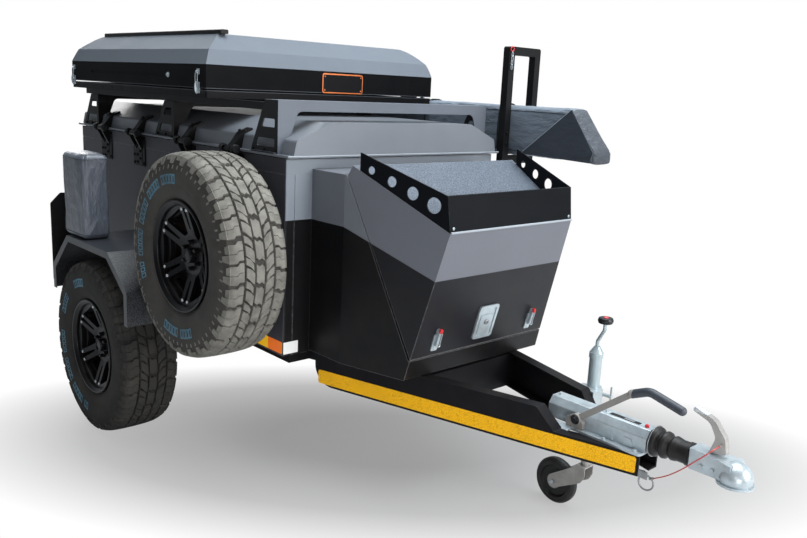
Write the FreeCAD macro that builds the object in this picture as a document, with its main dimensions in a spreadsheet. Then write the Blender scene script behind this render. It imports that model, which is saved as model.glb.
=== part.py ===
"""Off-road camping trailer with a nose box, a roof tent and a side awning bag.

The frame has +X forward to the hitch, +Y to the left and +Z up, in millimetres.
Every piece is drawn about the axle, and frame_shift then moves it along X so that
the origin is on the ground below the middle of the whole trailer.
"""
import FreeCAD, Part
import os
from math import atan2, cos, pi, radians, sin, tan

import Sketcher
from FreeCAD import Placement, Rotation, Vector

# Driving dimensions: name, millimetres or count, what it measures
DIMENSIONS = (
    ("frame_shift", -797.65, "move from the axle to the middle of the trailer"),
    ("tyre_radius", 400, "tyre outside radius, and the height of the axle"),
    ("tyre_width", 262, "tyre width over the sidewalls"),
    ("tread_width", 222, "width of the flat tread"),
    ("track_half", 868, "trailer centre to the middle of a tyre"),
    ("rim_lip_radius", 218, "rim outside radius at the lip"),
    ("rim_seat_radius", 203, "rim radius where the bead sits"),
    ("rim_width", 236, "rim width over the lips"),
    ("rim_well", 22, "depth of the rim's well"),
    ("rim_metal", 8, "thickness of the rim barrel"),
    ("hub_face_depth", 78, "rim lip to the wheel's mounting face"),
    ("hub_face_radius", 78, "radius of the wheel's mounting face"),
    ("spoke_metal", 15, "thickness of the spokes"),
    ("drum_radius", 132, "brake drum outside radius"),
    ("drum_inset", 76, "inner sidewall of a tyre to the brake drum's inner face"),
    ("stub_radius", 20, "radius of the stub axle"),
    ("running_gap", 0.06, "radial clearance of a shaft in its hub"),
    ("seat_gap", 0.3, "gap between a piece and the seat that carries it"),
    ("axle_beam_side", 60, "side of the square axle beam"),
    ("spring_span_half", 430, "axle to the eye of the leaf spring"),
    ("spring_width", 60, "width of the leaf spring"),
    ("spring_leaf", 8, "thickness of one leaf"),
    ("spring_bow", 2400, "radius of the bends of a spring leaf"),
    ("spring_sweep", 10, "rise of the spring from its middle to its eyes"),
    ("chassis_inset", 82, "side of the body in to the middle of a chassis tube"),
    ("chassis_tube", 50, "side of the chassis tubes"),
    ("body_front", 973, "axle to the front wall"),
    ("body_rear", 1032, "axle back to the rear wall"),
    ("body_half", 587, "half width of the body"),
    ("body_low", 549, "height of the underside of the body"),
    ("body_high", 1339, "height of the top edge of the body"),
    ("body_wall", 24, "thickness of the body walls"),
    ("body_edge", 8, "radius of the body's upright edges"),
    ("seam_drop", 58, "top of the body down to the seam round it"),
    ("seam_width", 4, "width of a panel seam"),
    ("seam_depth", 2, "depth of a panel seam"),
    ("gate_inset", 47, "side of the body in to the side of the tailgate"),
    ("gate_sill", 47, "underside of the body to the bottom of the tailgate"),
    ("gate_header", 77, "top of the body down to the top of the tailgate"),
    ("gate_corner", 24, "radius of the tailgate's corners"),
    ("gate_press_inset", 75, "edge of the tailgate in to its pressed panel"),
    ("front_seam_inset", 42, "side of the body in to the front wall's seams"),
    ("door_gap", 5.5, "gap round a door or lid"),
    ("knuckle_radius", 8, "radius of a door hinge knuckle"),
    ("hinge_pin", 3.5, "radius of a door hinge pin"),
    ("lid_gap", 6, "gap between the body and the lid"),
    ("lid_overhang_side", 13, "lid rim beyond the side of the body"),
    ("lid_overhang_end", 30, "lid rim beyond the ends of the body"),
    ("lid_rim", 9, "thickness of the folded lid rim"),
    ("lid_foot_inset", 13, "side of the body in to the lid at its rim"),
    ("lid_shoulder_inset", 27, "side of the body in to the lid's shoulder"),
    ("lid_shoulder_rise", 72, "top of the body to the lid's shoulder"),
    ("lid_top_inset", 190, "side of the body in to the lid's flat top"),
    ("lid_rise", 140, "top of the body to the lid's flat top"),
    ("lid_fold", 16, "radius of the lid's folds"),
    ("lid_skin", 14, "thickness of the lid"),
    ("lid_hinge_width", 70, "width of a lid hinge"),
    ("lid_hinge_plate", 7, "thickness of a lid hinge's plates"),
    ("lid_hinge_drop", 149, "top of the body down to the bottom of a lid hinge"),
    ("lid_hinge_out", 33, "side of the body to the lid's hinge line"),
    ("lid_hinge_up", 13, "top of the body to the lid's hinge line"),
    ("lid_hinge_cheek", 10, "thickness of a lid hinge's cheeks"),
    ("lid_hinge_pin", 5, "radius of a lid hinge's pin"),
    ("lid_arm_reach", 40, "lid's shoulder in to the tip of a hinge arm"),
    ("lid_knuckle_radius", 13, "radius of a lid hinge knuckle"),
    ("portal_plate", 5, "thickness of the portal sheet"),
    ("portal_foot", 195, "length of a portal foot"),
    ("portal_head", 92, "length of a portal head"),
    ("portal_out", 1, "side of the body to the outside of the portals"),
    ("portal_hole_margin", 30, "rear edge of a portal to its holes"),
    ("portal_hole_height", 33, "height of a portal's holes"),
    ("portal_beam", 42, "depth of a portal's cross beam"),
    ("portal_leg_top", 92, "width of a portal leg below the beam"),
    ("portal_leg_foot", 36, "width of a portal leg at the foot"),
    ("front_portal_front", 915, "axle to the front of the front portal"),
    ("middle_portal_front", 62, "axle to the front of the middle portal"),
    ("rear_portal_front", -796, "axle to the front of the rear portal"),
    ("tent_rail_height", 30, "height of the tent rails"),
    ("tent_rail_width", 40, "width of the tent rails"),
    ("tent_front", 468, "axle to the front of the tent"),
    ("tent_rear", 983, "axle back to the rear of the tent"),
    ("tent_overhang", 60, "side of the body to the side of the tent"),
    ("tent_lift", 69, "top of the lid to the underside of the tent"),
    ("tent_base_height", 32, "height of the tent's base tray"),
    ("tent_band", 137, "underside of the tent to the top of its dark band"),
    ("tent_bevel_height", 63, "height of the tent's lower bevel"),
    ("tent_bevel_inset", 32, "inset of the tent's lower bevel"),
    ("tent_height", 270, "underside of the tent to its roof"),
    ("tent_roof_inset", 98, "inset of the tent's upper bevel"),
    ("tent_skin", 16, "thickness of the tent shell"),
    ("tent_strip_rear", 724, "axle back to the rear of the tent's side strip"),
    ("tent_strip_front", 139, "axle to the front of the tent's side strip"),
    ("tent_strip_width", 12, "width of the tent's side strip"),
    ("roof_bar_width", 36, "width of the bar on the tent's roof"),
    ("roof_bar_height", 18, "height of the bar on the tent's roof"),
    ("nose_half", 462, "half width of the nose box at the body"),
    ("nose_corner", 1180, "axle to the corner where the nose narrows"),
    ("nose_tip_half", 347, "half width of the nose box at its front"),
    ("nose_low", 556, "height of the underside of the nose box"),
    ("nose_shelf", 1300, "height of the fixed top of the nose box"),
    ("nose_wall", 14, "thickness of the nose box walls"),
    ("nose_lip", 60, "bottom of the hatch up to the lip of the nose box"),
    ("nose_shelf_depth", 30, "hatch back to the front of the nose box's shelf"),
    ("nose_foot_front", 1477, "axle to the bottom front edge of the nose"),
    ("hatch_tip_front", 1636, "axle to the top front edge of the hatch"),
    ("hatch_tip_high", 1137, "height of the top front edge of the hatch"),
    ("hatch_foot_front", 1499, "axle to the bottom front edge of the hatch"),
    ("hatch_foot_high", 641, "height of the bottom front edge of the hatch"),
    ("hatch_back", 1193, "axle to the lower back edge of the hatch"),
    ("hatch_top_back", 1214, "axle to the upper back edge of the hatch"),
    ("hatch_top_high", 1337, "height of the upper back edge of the hatch"),
    ("hatch_hinge_back", 12, "back edge of the hatch to its hinge line"),
    ("tray_side_back", 1247, "axle to the back of the stone tray's sides"),
    ("tray_back_high", 1388, "height of the back of the stone tray"),
    ("tray_front", 1617, "axle to the top front edge of the stone tray"),
    ("tray_front_high", 1268, "height of the front of the stone tray"),
    ("tray_plate", 4, "thickness of the stone tray"),
    ("tray_hole_back", 50, "back of the tray's sides to its first hole"),
    ("tray_hole_rise", 14, "foot of the tray to the edge of its first hole"),
    ("tray_hole_first", 15, "radius of the rear hole in the stone tray"),
    ("tray_hole_growth", 4.6, "growth in radius from hole to hole"),
    ("tray_hole_pitch", 89, "distance from hole to hole"),
    ("latch_out", 272, "trailer centre to a hatch latch"),
    ("latch_rise", 22, "bottom of the hatch to a latch"),
    ("lock_half", 55, "half width of the lock plate"),
    ("lock_rise", 30, "bottom of the hatch to the lock plate"),
    ("lock_height", 142, "height of the lock plate"),
    ("rail_front", 2290, "axle to the front of the drawbar"),
    ("rail_rear", 966, "axle to the rear of the drawbar"),
    ("rail_front_half", 60, "half width of the drawbar at its front"),
    ("rail_rear_half", 420, "half width of the drawbar at its rear"),
    ("rail_low", 397, "height of the underside of the drawbar"),
    ("rail_high", 549, "height of the top of the drawbar"),
    ("rail_step_rear", 1925, "axle to the top of the drawbar's step"),
    ("rail_step_front", 1995, "axle to the foot of the drawbar's step"),
    ("rail_nose_high", 473, "height of the drawbar ahead of its step"),
    ("rail_flange", 50, "width of the drawbar's flanges"),
    ("rail_metal", 6, "thickness of the drawbar"),
    ("rail_step_bend", 12, "radius of the bends at the drawbar's step"),
    ("tie_depth", 60, "length of the drawbar's tie"),
    ("tie_back", 10, "bottom front edge of the nose box back to the tie"),
    ("rail_end_radius", 90, "radius of the drawbar's rear corner"),
    ("fender_half", 989, "half width over the fenders"),
    ("fender_high", 884, "height of the top of a fender"),
    ("fender_flat_front", 227, "axle to the front of a fender's flat top"),
    ("fender_flat_rear", 226, "axle back to the rear of the flat top"),
    ("fender_front", 416, "axle to the front of a fender"),
    ("fender_rear", 420, "axle back to the rear of a fender"),
    ("fender_front_corner", 744, "height of the fender's front corner"),
    ("fender_rear_corner", 714, "height of the fender's rear corner"),
    ("fender_low", 596, "height of the bottom of a fender"),
    ("fender_metal", 4, "thickness of a fender"),
    ("fender_bend", 12, "radius of a fender's bends"),
    ("fender_lip", 30, "depth of the fender's folded lip"),
    ("lamp_plate_high", 1056, "height of the top of a lamp plate"),
    ("lamp_plate_low", 630, "height of the bottom of a lamp plate"),
    ("lamp_plate_width", 235, "width of a lamp plate"),
    ("lamp_plate_metal", 5, "thickness of a lamp plate"),
    ("lamp_plate_chamfer", 48, "corner cut off the top of a lamp plate"),
    ("lamp_margin", 22, "inner edge of a lamp plate to its lamp"),
    ("lamp_rise", 30, "bottom of a lamp plate to its lamp"),
    ("lamp_width", 190, "width of a tail lamp"),
    ("lamp_height", 88, "height of a tail lamp"),
    ("lamp_depth", 32, "depth of a tail lamp"),
    ("spare_ahead", 764, "axle to the middle of the spare wheel"),
    ("spare_high", 957, "height of the middle of the spare wheel"),
    ("spare_out", 229, "side of the body to the middle of the spare tyre"),
    ("carrier_radius", 72, "radius of the spare wheel's carrier drum"),
    ("carrier_foot_half", 135, "half the side of the carrier's foot"),
    ("carrier_plate", 8, "thickness of the carrier's plates"),
    ("hoop_tube", 38, "side of the awning hoop's square tube"),
    ("hoop_ahead", 1000, "axle to the middle of the hoop"),
    ("hoop_inner_out", 42, "side of the body to the hoop's inner upright"),
    ("hoop_outer_out", 229, "side of the body to the hoop's outer upright"),
    ("hoop_drop", 269, "top of the body down to the bottom of the hoop"),
    ("hoop_shoe_height", 190, "height of the hoop's shoe on the body"),
    ("hoop_shoe_reach", 98, "hoop back to the rear of its shoe"),
    ("hoop_bend", 12, "radius of the hoop's outer corners"),
    ("hoop_high", 1838, "height of the top of the hoop"),
    ("bag_rear", 1000, "axle back to the rear of the awning bag"),
    ("bag_front", 1500, "axle to the front of the awning bag"),
    ("bag_out", 69, "side of the body to the inside of the awning bag"),
    ("bag_depth", 134, "thickness of the awning bag"),
    ("bag_drop", 4, "top of the body down to the underside of the bag"),
    ("bag_height", 240, "height of the awning bag"),
    ("bag_round", 48, "radius of the bag's long edges"),
    ("bag_peak_back", 138, "front of the bag back to the peak of its flap"),
    ("cradle_back", 820, "axle back to the bag's cradle"),
    ("cradle_drop", 22, "underside of the bag down to its cradle"),
    ("cradle_foot_drop", 190, "top of the body down to the cradle's foot"),
    ("cradle_metal", 6, "thickness of the bag cradle's flat bar"),
    ("cradle_width", 50, "width of the bag cradle's flat bar"),
    ("cover_front", -42, "axle to the front of the fender's cover bag"),
    ("cover_rear", 302, "axle back to the rear of the cover bag"),
    ("cover_inset", 5, "outside of the fender in to the cover bag"),
    ("cover_depth", 146, "thickness of the cover bag"),
    ("cover_high", 1272, "height of the top of the cover bag"),
    ("coupling_rear", 1896, "axle to the rear of the coupling housing"),
    ("coupling_front", 2300, "axle to the front of the coupling housing"),
    ("coupling_half", 46, "half width of the coupling housing"),
    ("coupling_high", 556, "height of the coupling housing"),
    ("base_plate_half", 74, "half width of the coupling's base plate"),
    ("base_plate_metal", 8, "thickness of the coupling's base plate"),
    ("bellows_radius", 52, "outside radius of the bellows"),
    ("bellows_root", 33, "radius in the folds of the bellows"),
    ("bellows_front", 2446, "axle to the front of the bellows"),
    ("drawshaft_high", 516, "height of the coupling's drawshaft"),
    ("drawshaft_radius", 24, "radius of the drawshaft"),
    ("ball_ahead", 2590, "axle to the middle of the ball socket"),
    ("ball_high", 497, "height of the middle of the ball socket"),
    ("ball_radius", 25.3, "radius of the ball socket"),
    ("socket_wall", 30, "wall round the ball socket"),
    ("socket_skirt", 22, "length of the ball socket's straight skirt"),
    ("handle_width", 24, "width of the coupling handle"),
    ("lever_pivot_ahead", 2032, "axle to the handbrake lever's pivot"),
    ("lever_out", 12, "side of the coupling housing to the lever"),
    ("lever_width", 22, "width of the lever's flat bar"),
    ("lever_metal", 8, "thickness of the lever's flat bar"),
    ("lever_grip_radius", 15, "radius of the lever's grip"),
    ("jockey_ahead", 1905, "axle to the jockey stand's tube"),
    ("jockey_out", 214, "trailer centre to the jockey stand's tube"),
    ("jockey_tube_radius", 24, "outside radius of the jockey tube"),
    ("jockey_tube_low", 250, "height of the bottom of the jockey tube"),
    ("jockey_tube_high", 655, "height of the top of the jockey tube"),
    ("jockey_trail", 128, "jockey tube back to the jockey wheel's axle"),
    ("jockey_wheel_radius", 95, "radius of the jockey wheel"),
    ("jockey_wheel_width", 44, "width of the jockey wheel"),
    ("jockey_axle_radius", 8, "radius of the jockey wheel's axle"),
    ("crank_reach", 26, "jockey tube to its crank's knob"),
    ("crank_knob_radius", 30, "radius of the crank's knob"),
    ("clamp_wall", 9, "wall of the clamp round the jockey tube"),
    ("clamp_height", 70, "height of the clamp round the jockey tube"),
    ("cable_radius", 2, "radius of the breakaway cable"),
)


class Size:
    """A length that keeps both its number and the sheet formula that gives it."""

    def __init__(self, number, formula):
        self.number = number
        self.formula = formula

    @staticmethod
    def of(value):
        if isinstance(value, Size):
            return value
        return Size(float(value), f"{float(value):.6f}")

    def _join(self, other, sign, number):
        return Size(number, f"({self.formula} {sign} {other.formula})")

    def __add__(self, other):
        other = Size.of(other)
        return self._join(other, "+", self.number + other.number)

    def __sub__(self, other):
        other = Size.of(other)
        return self._join(other, "-", self.number - other.number)

    def __mul__(self, other):
        other = Size.of(other)
        return self._join(other, "*", self.number * other.number)

    def __truediv__(self, other):
        other = Size.of(other)
        return self._join(other, "/", self.number / other.number)

    def __neg__(self):
        return Size.of(0) - self

    def __radd__(self, other):
        return Size.of(other) + self

    def __rsub__(self, other):
        return Size.of(other) - self

    def __rmul__(self, other):
        return Size.of(other) * self

    def root(self):
        """Square root of the size."""
        return Size(self.number ** 0.5, f"sqrt({self.formula})")


class Sheet:
    """The spreadsheet of driving dimensions, read as attributes."""

    def __init__(self, document, rows):
        self.cells = document.addObject("Spreadsheet::Sheet", "Dimensions")
        self.sizes = {}
        for row, (alias, value, note) in enumerate(rows, start=1):
            self.cells.set(f"A{row}", alias)
            self.cells.set(f"B{row}", str(value))
            self.cells.set(f"C{row}", note)
            self.cells.setAlias(f"B{row}", alias)
            self.sizes[alias] = Size(float(value), f"Dimensions.{alias}")

    def follow(self, **sizes):
        """Name sizes that follow from the driving dimensions."""
        self.sizes.update(sizes)

    def __getattr__(self, alias):
        return self.sizes[alias]


doc = FreeCAD.newDocument("trailer")
d = Sheet(doc, DIMENSIONS)
d.follow(
    chassis_half=d.body_half - d.chassis_inset,
    seam_height=d.body_high - d.seam_drop,
    gate_half=d.body_half - d.gate_inset,
    gate_low=d.body_low + d.gate_sill,
    gate_high=d.body_high - d.gate_header,
    lid_foot_half=d.body_half - d.lid_foot_inset,
    lid_shoulder_half=d.body_half - d.lid_shoulder_inset,
    lid_shoulder=d.body_high + d.lid_shoulder_rise,
    lid_top_half=d.body_half - d.lid_top_inset,
    lid_top=d.body_high + d.lid_rise,
    lid_hinge_low=d.body_high - d.lid_hinge_drop,
    portal_half=d.body_half + d.portal_out,
    tent_half=d.body_half + d.tent_overhang,
    spare_track=d.body_half + d.spare_out,
    hoop_inner=d.body_half + d.hoop_inner_out,
    hoop_outer=d.body_half + d.hoop_outer_out,
    hoop_low=d.body_high - d.hoop_drop,
    bag_inner=d.body_half + d.bag_out,
    bag_low=d.body_high - d.bag_drop,
    cover_outer=d.fender_half - d.cover_inset,
)
d.follow(
    tent_low=d.lid_top + d.tent_lift,
    bag_outer=d.bag_inner + d.bag_depth,
    bag_high=d.bag_low + d.bag_height,
    cover_inner=d.cover_outer - d.cover_depth,
    axle_drum_inner=d.track_half - d.tyre_width / 2 - d.drum_inset,
)
d.follow(tent_band_top=d.tent_low + d.tent_band, tent_top=d.tent_low + d.tent_height)
doc.recompute()

AXES = {"X": Vector(1, 0, 0), "Y": Vector(0, 1, 0), "Z": Vector(0, 0, 1)}
# Each drawing plane: the axis that a prism runs along, and the turn that lays a sketch in it
PLANES = {
    "XY": ("Z", Rotation()),
    "XZ": ("Y", Rotation(Vector(1, 0, 0), 90)),
    "YZ": ("X", Rotation(Vector(1, 1, 1), 120)),
}
TO_AXIS = {
    "X": Rotation(Vector(0, 1, 0), 90),
    "Y": Rotation(Vector(1, 0, 0), -90),
    "Z": Rotation(),
}
SIDES = {"right": -1, "left": 1}
NODES = {}


def bind(thing, **sizes):
    """Set properties of an object to sheet formulas; a dot is written as two underscores."""
    for name, size in sizes.items():
        thing.setExpression(name.replace("__", "."), Size.of(size).formula)
    return thing


def place(thing, point):
    """Bind an object's place to three sizes."""
    numbers = [Size.of(part).number for part in point]
    thing.Placement = Placement(Vector(*numbers), thing.Placement.Rotation)
    for axis, part in zip("xyz", point):
        if Size.of(part).formula != "0.000000":
            thing.setExpression(f"Placement.Base.{axis}", Size.of(part).formula)
    return thing


def direction(start, end):
    """The direction from one point of a plane to another, as two sizes."""
    run_u, run_v = end[0] - start[0], end[1] - start[1]
    length = (run_u * run_u + run_v * run_v).root()
    return run_u / length, run_v / length


def rounded(before, here, after, radius):
    """Where the arc that rounds a corner starts and ends, and its middle."""
    back, ahead = direction(here, before), direction(here, after)
    spread = back[0] * ahead[0] + back[1] * ahead[1]
    reach = radius * ((spread + 1) / (1 - spread)).root()
    start = (here[0] + back[0] * reach, here[1] + back[1] * reach)
    end = (here[0] + ahead[0] * reach, here[1] + ahead[1] * reach)
    share = reach.number / (1 + spread.number)
    middle = Vector(here[0].number + (back[0].number + ahead[0].number) * share,
                    here[1].number + (back[1].number + ahead[1].number) * share, 0)
    return start, end, middle


def arc_shape(start, end, middle, radius, left):
    """An arc from start to end about its middle; it turns left or right on its way."""
    if not left:
        start, end = end, start
    angles = [atan2(stop[1].number - middle.y, stop[0].number - middle.x) for stop in (start, end)]
    if angles[1] < angles[0]:
        angles[1] += 2 * pi
    return Part.ArcOfCircle(Part.Circle(middle, AXES["Z"], radius.number), *angles)


def draw(sketch, points, closed=True):
    """Draw an outline, or an open path, whose stops are tied to the sheet.

    Each point is two sizes, or three where an arc of the third size rounds the corner.
    """
    corners = [tuple(Size.of(part) for part in point) for point in points]
    stops, arcs = [], {}
    for index, corner in enumerate(corners):
        if len(corner) == 2:
            stops.append(corner)
            continue
        before, after = corners[index - 1], corners[(index + 1) % len(corners)]
        start, end, middle = rounded(before, corner, after, corner[2])
        turn = ((corner[0] - before[0]) * (after[1] - corner[1]) - (corner[1] - before[1]) * (after[0] - corner[0]))
        arcs[len(stops)] = (middle, corner[2], turn.number > 0)
        stops += [start, end]
    count = len(stops) if closed else len(stops) - 1
    first = sketch.GeometryCount
    ends, radii = [], []
    for index in range(count):
        start, end = stops[index], stops[(index + 1) % len(stops)]
        if index in arcs:
            middle, radius, left = arcs[index]
            sketch.addGeometry(arc_shape(start, end, middle, radius, left), False)
            ends.append((1, 2) if left else (2, 1))
            radii.append((first + index, radius))
        else:
            sketch.addGeometry(Part.LineSegment(
                Vector(start[0].number, start[1].number, 0), Vector(end[0].number, end[1].number, 0)), False)
            ends.append((1, 2))
    joins = range(count if closed else count - 1)
    rules = []
    for index in joins:
        after = (index + 1) % count
        join = Sketcher.Constraint("Coincident", first + index, ends[index][1], first + after, ends[after][0])
        rules.append((join, None))
    for index, stop in enumerate(stops):
        edge, end = (index, 0) if index < count else (index - 1, 1)
        for kind, size in zip(("DistanceX", "DistanceY"), stop):
            rules.append((Sketcher.Constraint(kind, -1, 1, first + edge, ends[edge][end], size.number), size))
    rules += [(Sketcher.Constraint("Radius", edge, radius.number), radius) for edge, radius in radii]
    names = sketch.addConstraint([rule for rule, size in rules])
    for name, (rule, size) in zip(names, rules):
        if size is not None:
            sketch.setExpression(f"Constraints[{name}]", size.formula)
    return sketch


def plane_sketch(name, plane, height, points, closed=True):
    """A sketch laid in one plane, at a height along that plane's normal axis."""
    axis, turn = PLANES[plane]
    sketch = doc.addObject("Sketcher::SketchObject", name)
    draw(sketch, points, closed)
    sketch.Placement = Placement(Vector(), turn)
    return place(sketch, [Size.of(height if letter == axis else 0) for letter in "XYZ"])


def prism(name, plane, points, start, end, inward=None):
    """A prism of an outline, or of the outline drawn inward, from start to end along the plane's normal."""
    start, end = Size.of(start), Size.of(end)
    outline = plane_sketch(f"{name}_outline", plane, start, points)
    if inward is not None:
        sketch = outline
        outline = doc.addObject("Part::Offset2D", f"{name}_inward")
        outline.Source = sketch
        outline.Mode = "Pipe"
        outline.Join = "Intersection"
        bind(outline, Value=-Size.of(inward))
    solid = doc.addObject("Part::Extrusion", name)
    solid.Base = outline
    solid.DirMode = "Custom"
    solid.Dir = AXES[PLANES[plane][0]]
    solid.Solid = True
    return bind(solid, LengthFwd=end - start)


def box_outline(low, high, radius):
    """A rectangle between two corners, with every corner rounded."""
    return [(low[0], low[1], radius), (high[0], low[1], radius),
            (high[0], high[1], radius), (low[0], high[1], radius)]


def strip(start, end, half):
    """The outline of a flat bar of a half width from one point of a plane to another."""
    start, end = [tuple(Size.of(part) for part in point) for point in (start, end)]
    along = direction(start, end)
    side = (-along[1] * half, along[0] * half)
    return [(start[0] - side[0], start[1] - side[1]), (end[0] - side[0], end[1] - side[1]),
            (end[0] + side[0], end[1] + side[1]), (start[0] + side[0], start[1] + side[1])]


def bent_bar(name, plane, height, points, radius):
    """A round bar swept along a path in one plane, with its bends rounded."""
    path = plane_sketch(f"{name}_path", plane, height, points, closed=False)
    spots = []
    for point in points[:2]:
        u, v = Size.of(point[0]), Size.of(point[1])
        height = Size.of(height)
        spots.append({"XY": (u, v, height), "XZ": (u, height, v), "YZ": (height, u, v)}[plane])
    tail, head = [Vector(*[part.number for part in spot]) for spot in spots]
    section = doc.addObject("Part::Circle", f"{name}_section")
    section.Placement = Placement(Vector(), Rotation(AXES["Z"], head - tail))
    bind(section, Radius=radius)
    place(section, spots[0])
    solid = doc.addObject("Part::Sweep", name)
    solid.Sections = [section]
    doc.recompute()
    solid.Spine = (path, [f"Edge{index + 1}" for index in range(path.GeometryCount)])
    solid.Solid = True
    return solid


def rod(name, axis, start, radius, length):
    """A round bar from a start point along one axis."""
    solid = doc.addObject("Part::Cylinder", name)
    solid.Placement = Placement(Vector(), TO_AXIS[axis])
    bind(solid, Radius=radius, Height=length)
    return place(solid, start)


def rod_between(name, start, end, radius):
    """A round bar between any two points."""
    tail = Vector(*[Size.of(part).number for part in start])
    head = Vector(*[Size.of(part).number for part in end])
    solid = doc.addObject("Part::Cylinder", name)
    solid.Placement = Placement(Vector(), Rotation(Vector(0, 0, 1), head - tail))
    span = sum(((Size.of(b) - Size.of(a)) * (Size.of(b) - Size.of(a)) for a, b in zip(start, end)), Size.of(0))
    bind(solid, Radius=radius, Height=span.root())
    return place(solid, start)


def ball(name, point, radius):
    """A ball."""
    solid = doc.addObject("Part::Sphere", name)
    bind(solid, Radius=radius)
    return place(solid, point)


def block(name, low, high):
    """A square block between two corners."""
    solid = doc.addObject("Part::Box", name)
    spans = [Size.of(b) - Size.of(a) for a, b in zip(low, high)]
    bind(solid, Length=spans[0], Width=spans[1], Height=spans[2])
    return place(solid, low)


def fuse(name, parts):
    """Several touching solids made one."""
    solid = doc.addObject("Part::MultiFuse", name)
    solid.Shapes = parts
    solid.Refine = True
    return solid


def common(name, parts):
    """What several solids share."""
    solid = doc.addObject("Part::MultiCommon", name)
    solid.Shapes = parts
    solid.Refine = True
    return solid


def cut(name, base, tools):
    """A solid less its cutters."""
    solid = doc.addObject("Part::Cut", name)
    solid.Base = base
    solid.Tool = tools[0] if len(tools) == 1 else bundle(f"{name}_cutters", tools)
    solid.Refine = True
    return solid


def bundle(name, parts):
    """Several solids kept apart in one object."""
    group = doc.addObject("Part::Compound", name)
    group.Links = parts
    return group


def node(label, parts):
    """A named piece of the trailer, moved from the axle to the trailer's own frame."""
    piece = bundle(f"{label}_piece", parts)
    piece.Label = label
    bind(piece, Placement__Base__x=d.frame_shift)
    NODES[label] = piece
    return piece


def body_node(label, body, point, turn=Rotation()):
    """A named piece made as a body, set at a point about the axle."""
    body.Placement = Placement(Vector(), turn)
    place(body, (point[0] + d.frame_shift, point[1], point[2]))
    body.Label = label
    NODES[label] = body
    return body


def across(side, inner, outer):
    """Start and end along Y of a piece that reaches from inner to outer on one side."""
    inner, outer = Size.of(inner), Size.of(outer)
    return (inner, outer) if side > 0 else (-outer, -inner)

def hinge(name, axis, middle, width, radius, pin):
    """A knuckle hinge about a middle point: its fixed solids, its moving knuckle and that knuckle's bore."""
    index = "XYZ".index(axis)

    def along(shift, bar_radius, length, suffix):
        start = [Size.of(part) for part in middle]
        start[index] = start[index] + shift
        return rod(f"{name}_{suffix}", axis, start, bar_radius, length)

    width = Size.of(width)
    end = width * 0.3
    fixed = [along(-(width / 2), pin, width, "pin"), along(-(width / 2), radius, end - 0.5, "first"),
             along(width / 2 - end + 0.5, radius, end - 0.5, "last")]
    moving = along(end - width / 2, radius, width - end * 2, "moving")
    bore = along(-(width / 2), pin + d.running_gap, width, "bore")
    return fixed, moving, bore


def new_body(name):
    return doc.addObject("PartDesign::Body", name)


def body_sketch(body, name, role, points):
    """A sketch on one of a body's own origin planes."""
    sketch = body.newObject("Sketcher::SketchObject", name)
    plane = [feature for feature in body.Origin.OriginFeatures if feature.Role == role][0]
    sketch.AttachmentSupport = [(plane, "")]
    sketch.MapMode = "FlatFace"
    if points:
        draw(sketch, points)
    return sketch


def turned(body, name, points):
    """A revolution about the body's own Z axis of an outline in radius and height."""
    sketch = body_sketch(body, f"{name}_section", "XZ_Plane", points)
    feature = body.newObject("PartDesign::Revolution", name)
    feature.Profile = sketch
    feature.ReferenceAxis = (sketch, ["V_Axis"])
    feature.Angle = 360
    doc.recompute()
    return feature


def turned_solid(name, points, point, turn=Rotation()):
    """A turned solid about an axis through a point, from an outline in radius and height."""
    sketch = plane_sketch(f"{name}_section", "XZ", 0, points)
    solid = doc.addObject("Part::Revolution", name)
    solid.Source = sketch
    solid.Axis = AXES["Z"]
    solid.Angle = 360
    solid.Solid = True
    holder = bundle(f"{name}_turned", [solid])
    holder.Placement = Placement(Vector(), turn)
    return place(holder, point)


# Wheels

SPOKE_PAIRS = 6


def sector(inner, outer, start, near, far, corner):
    """A window between two radii, narrower at one end, with rounded corners."""
    spots = ((inner, start - near), (outer, start - far), (outer, start + far), (inner, start + near))
    return [(radius * cos(radians(angle)), radius * sin(radians(angle)), corner) for radius, angle in spots]


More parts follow.
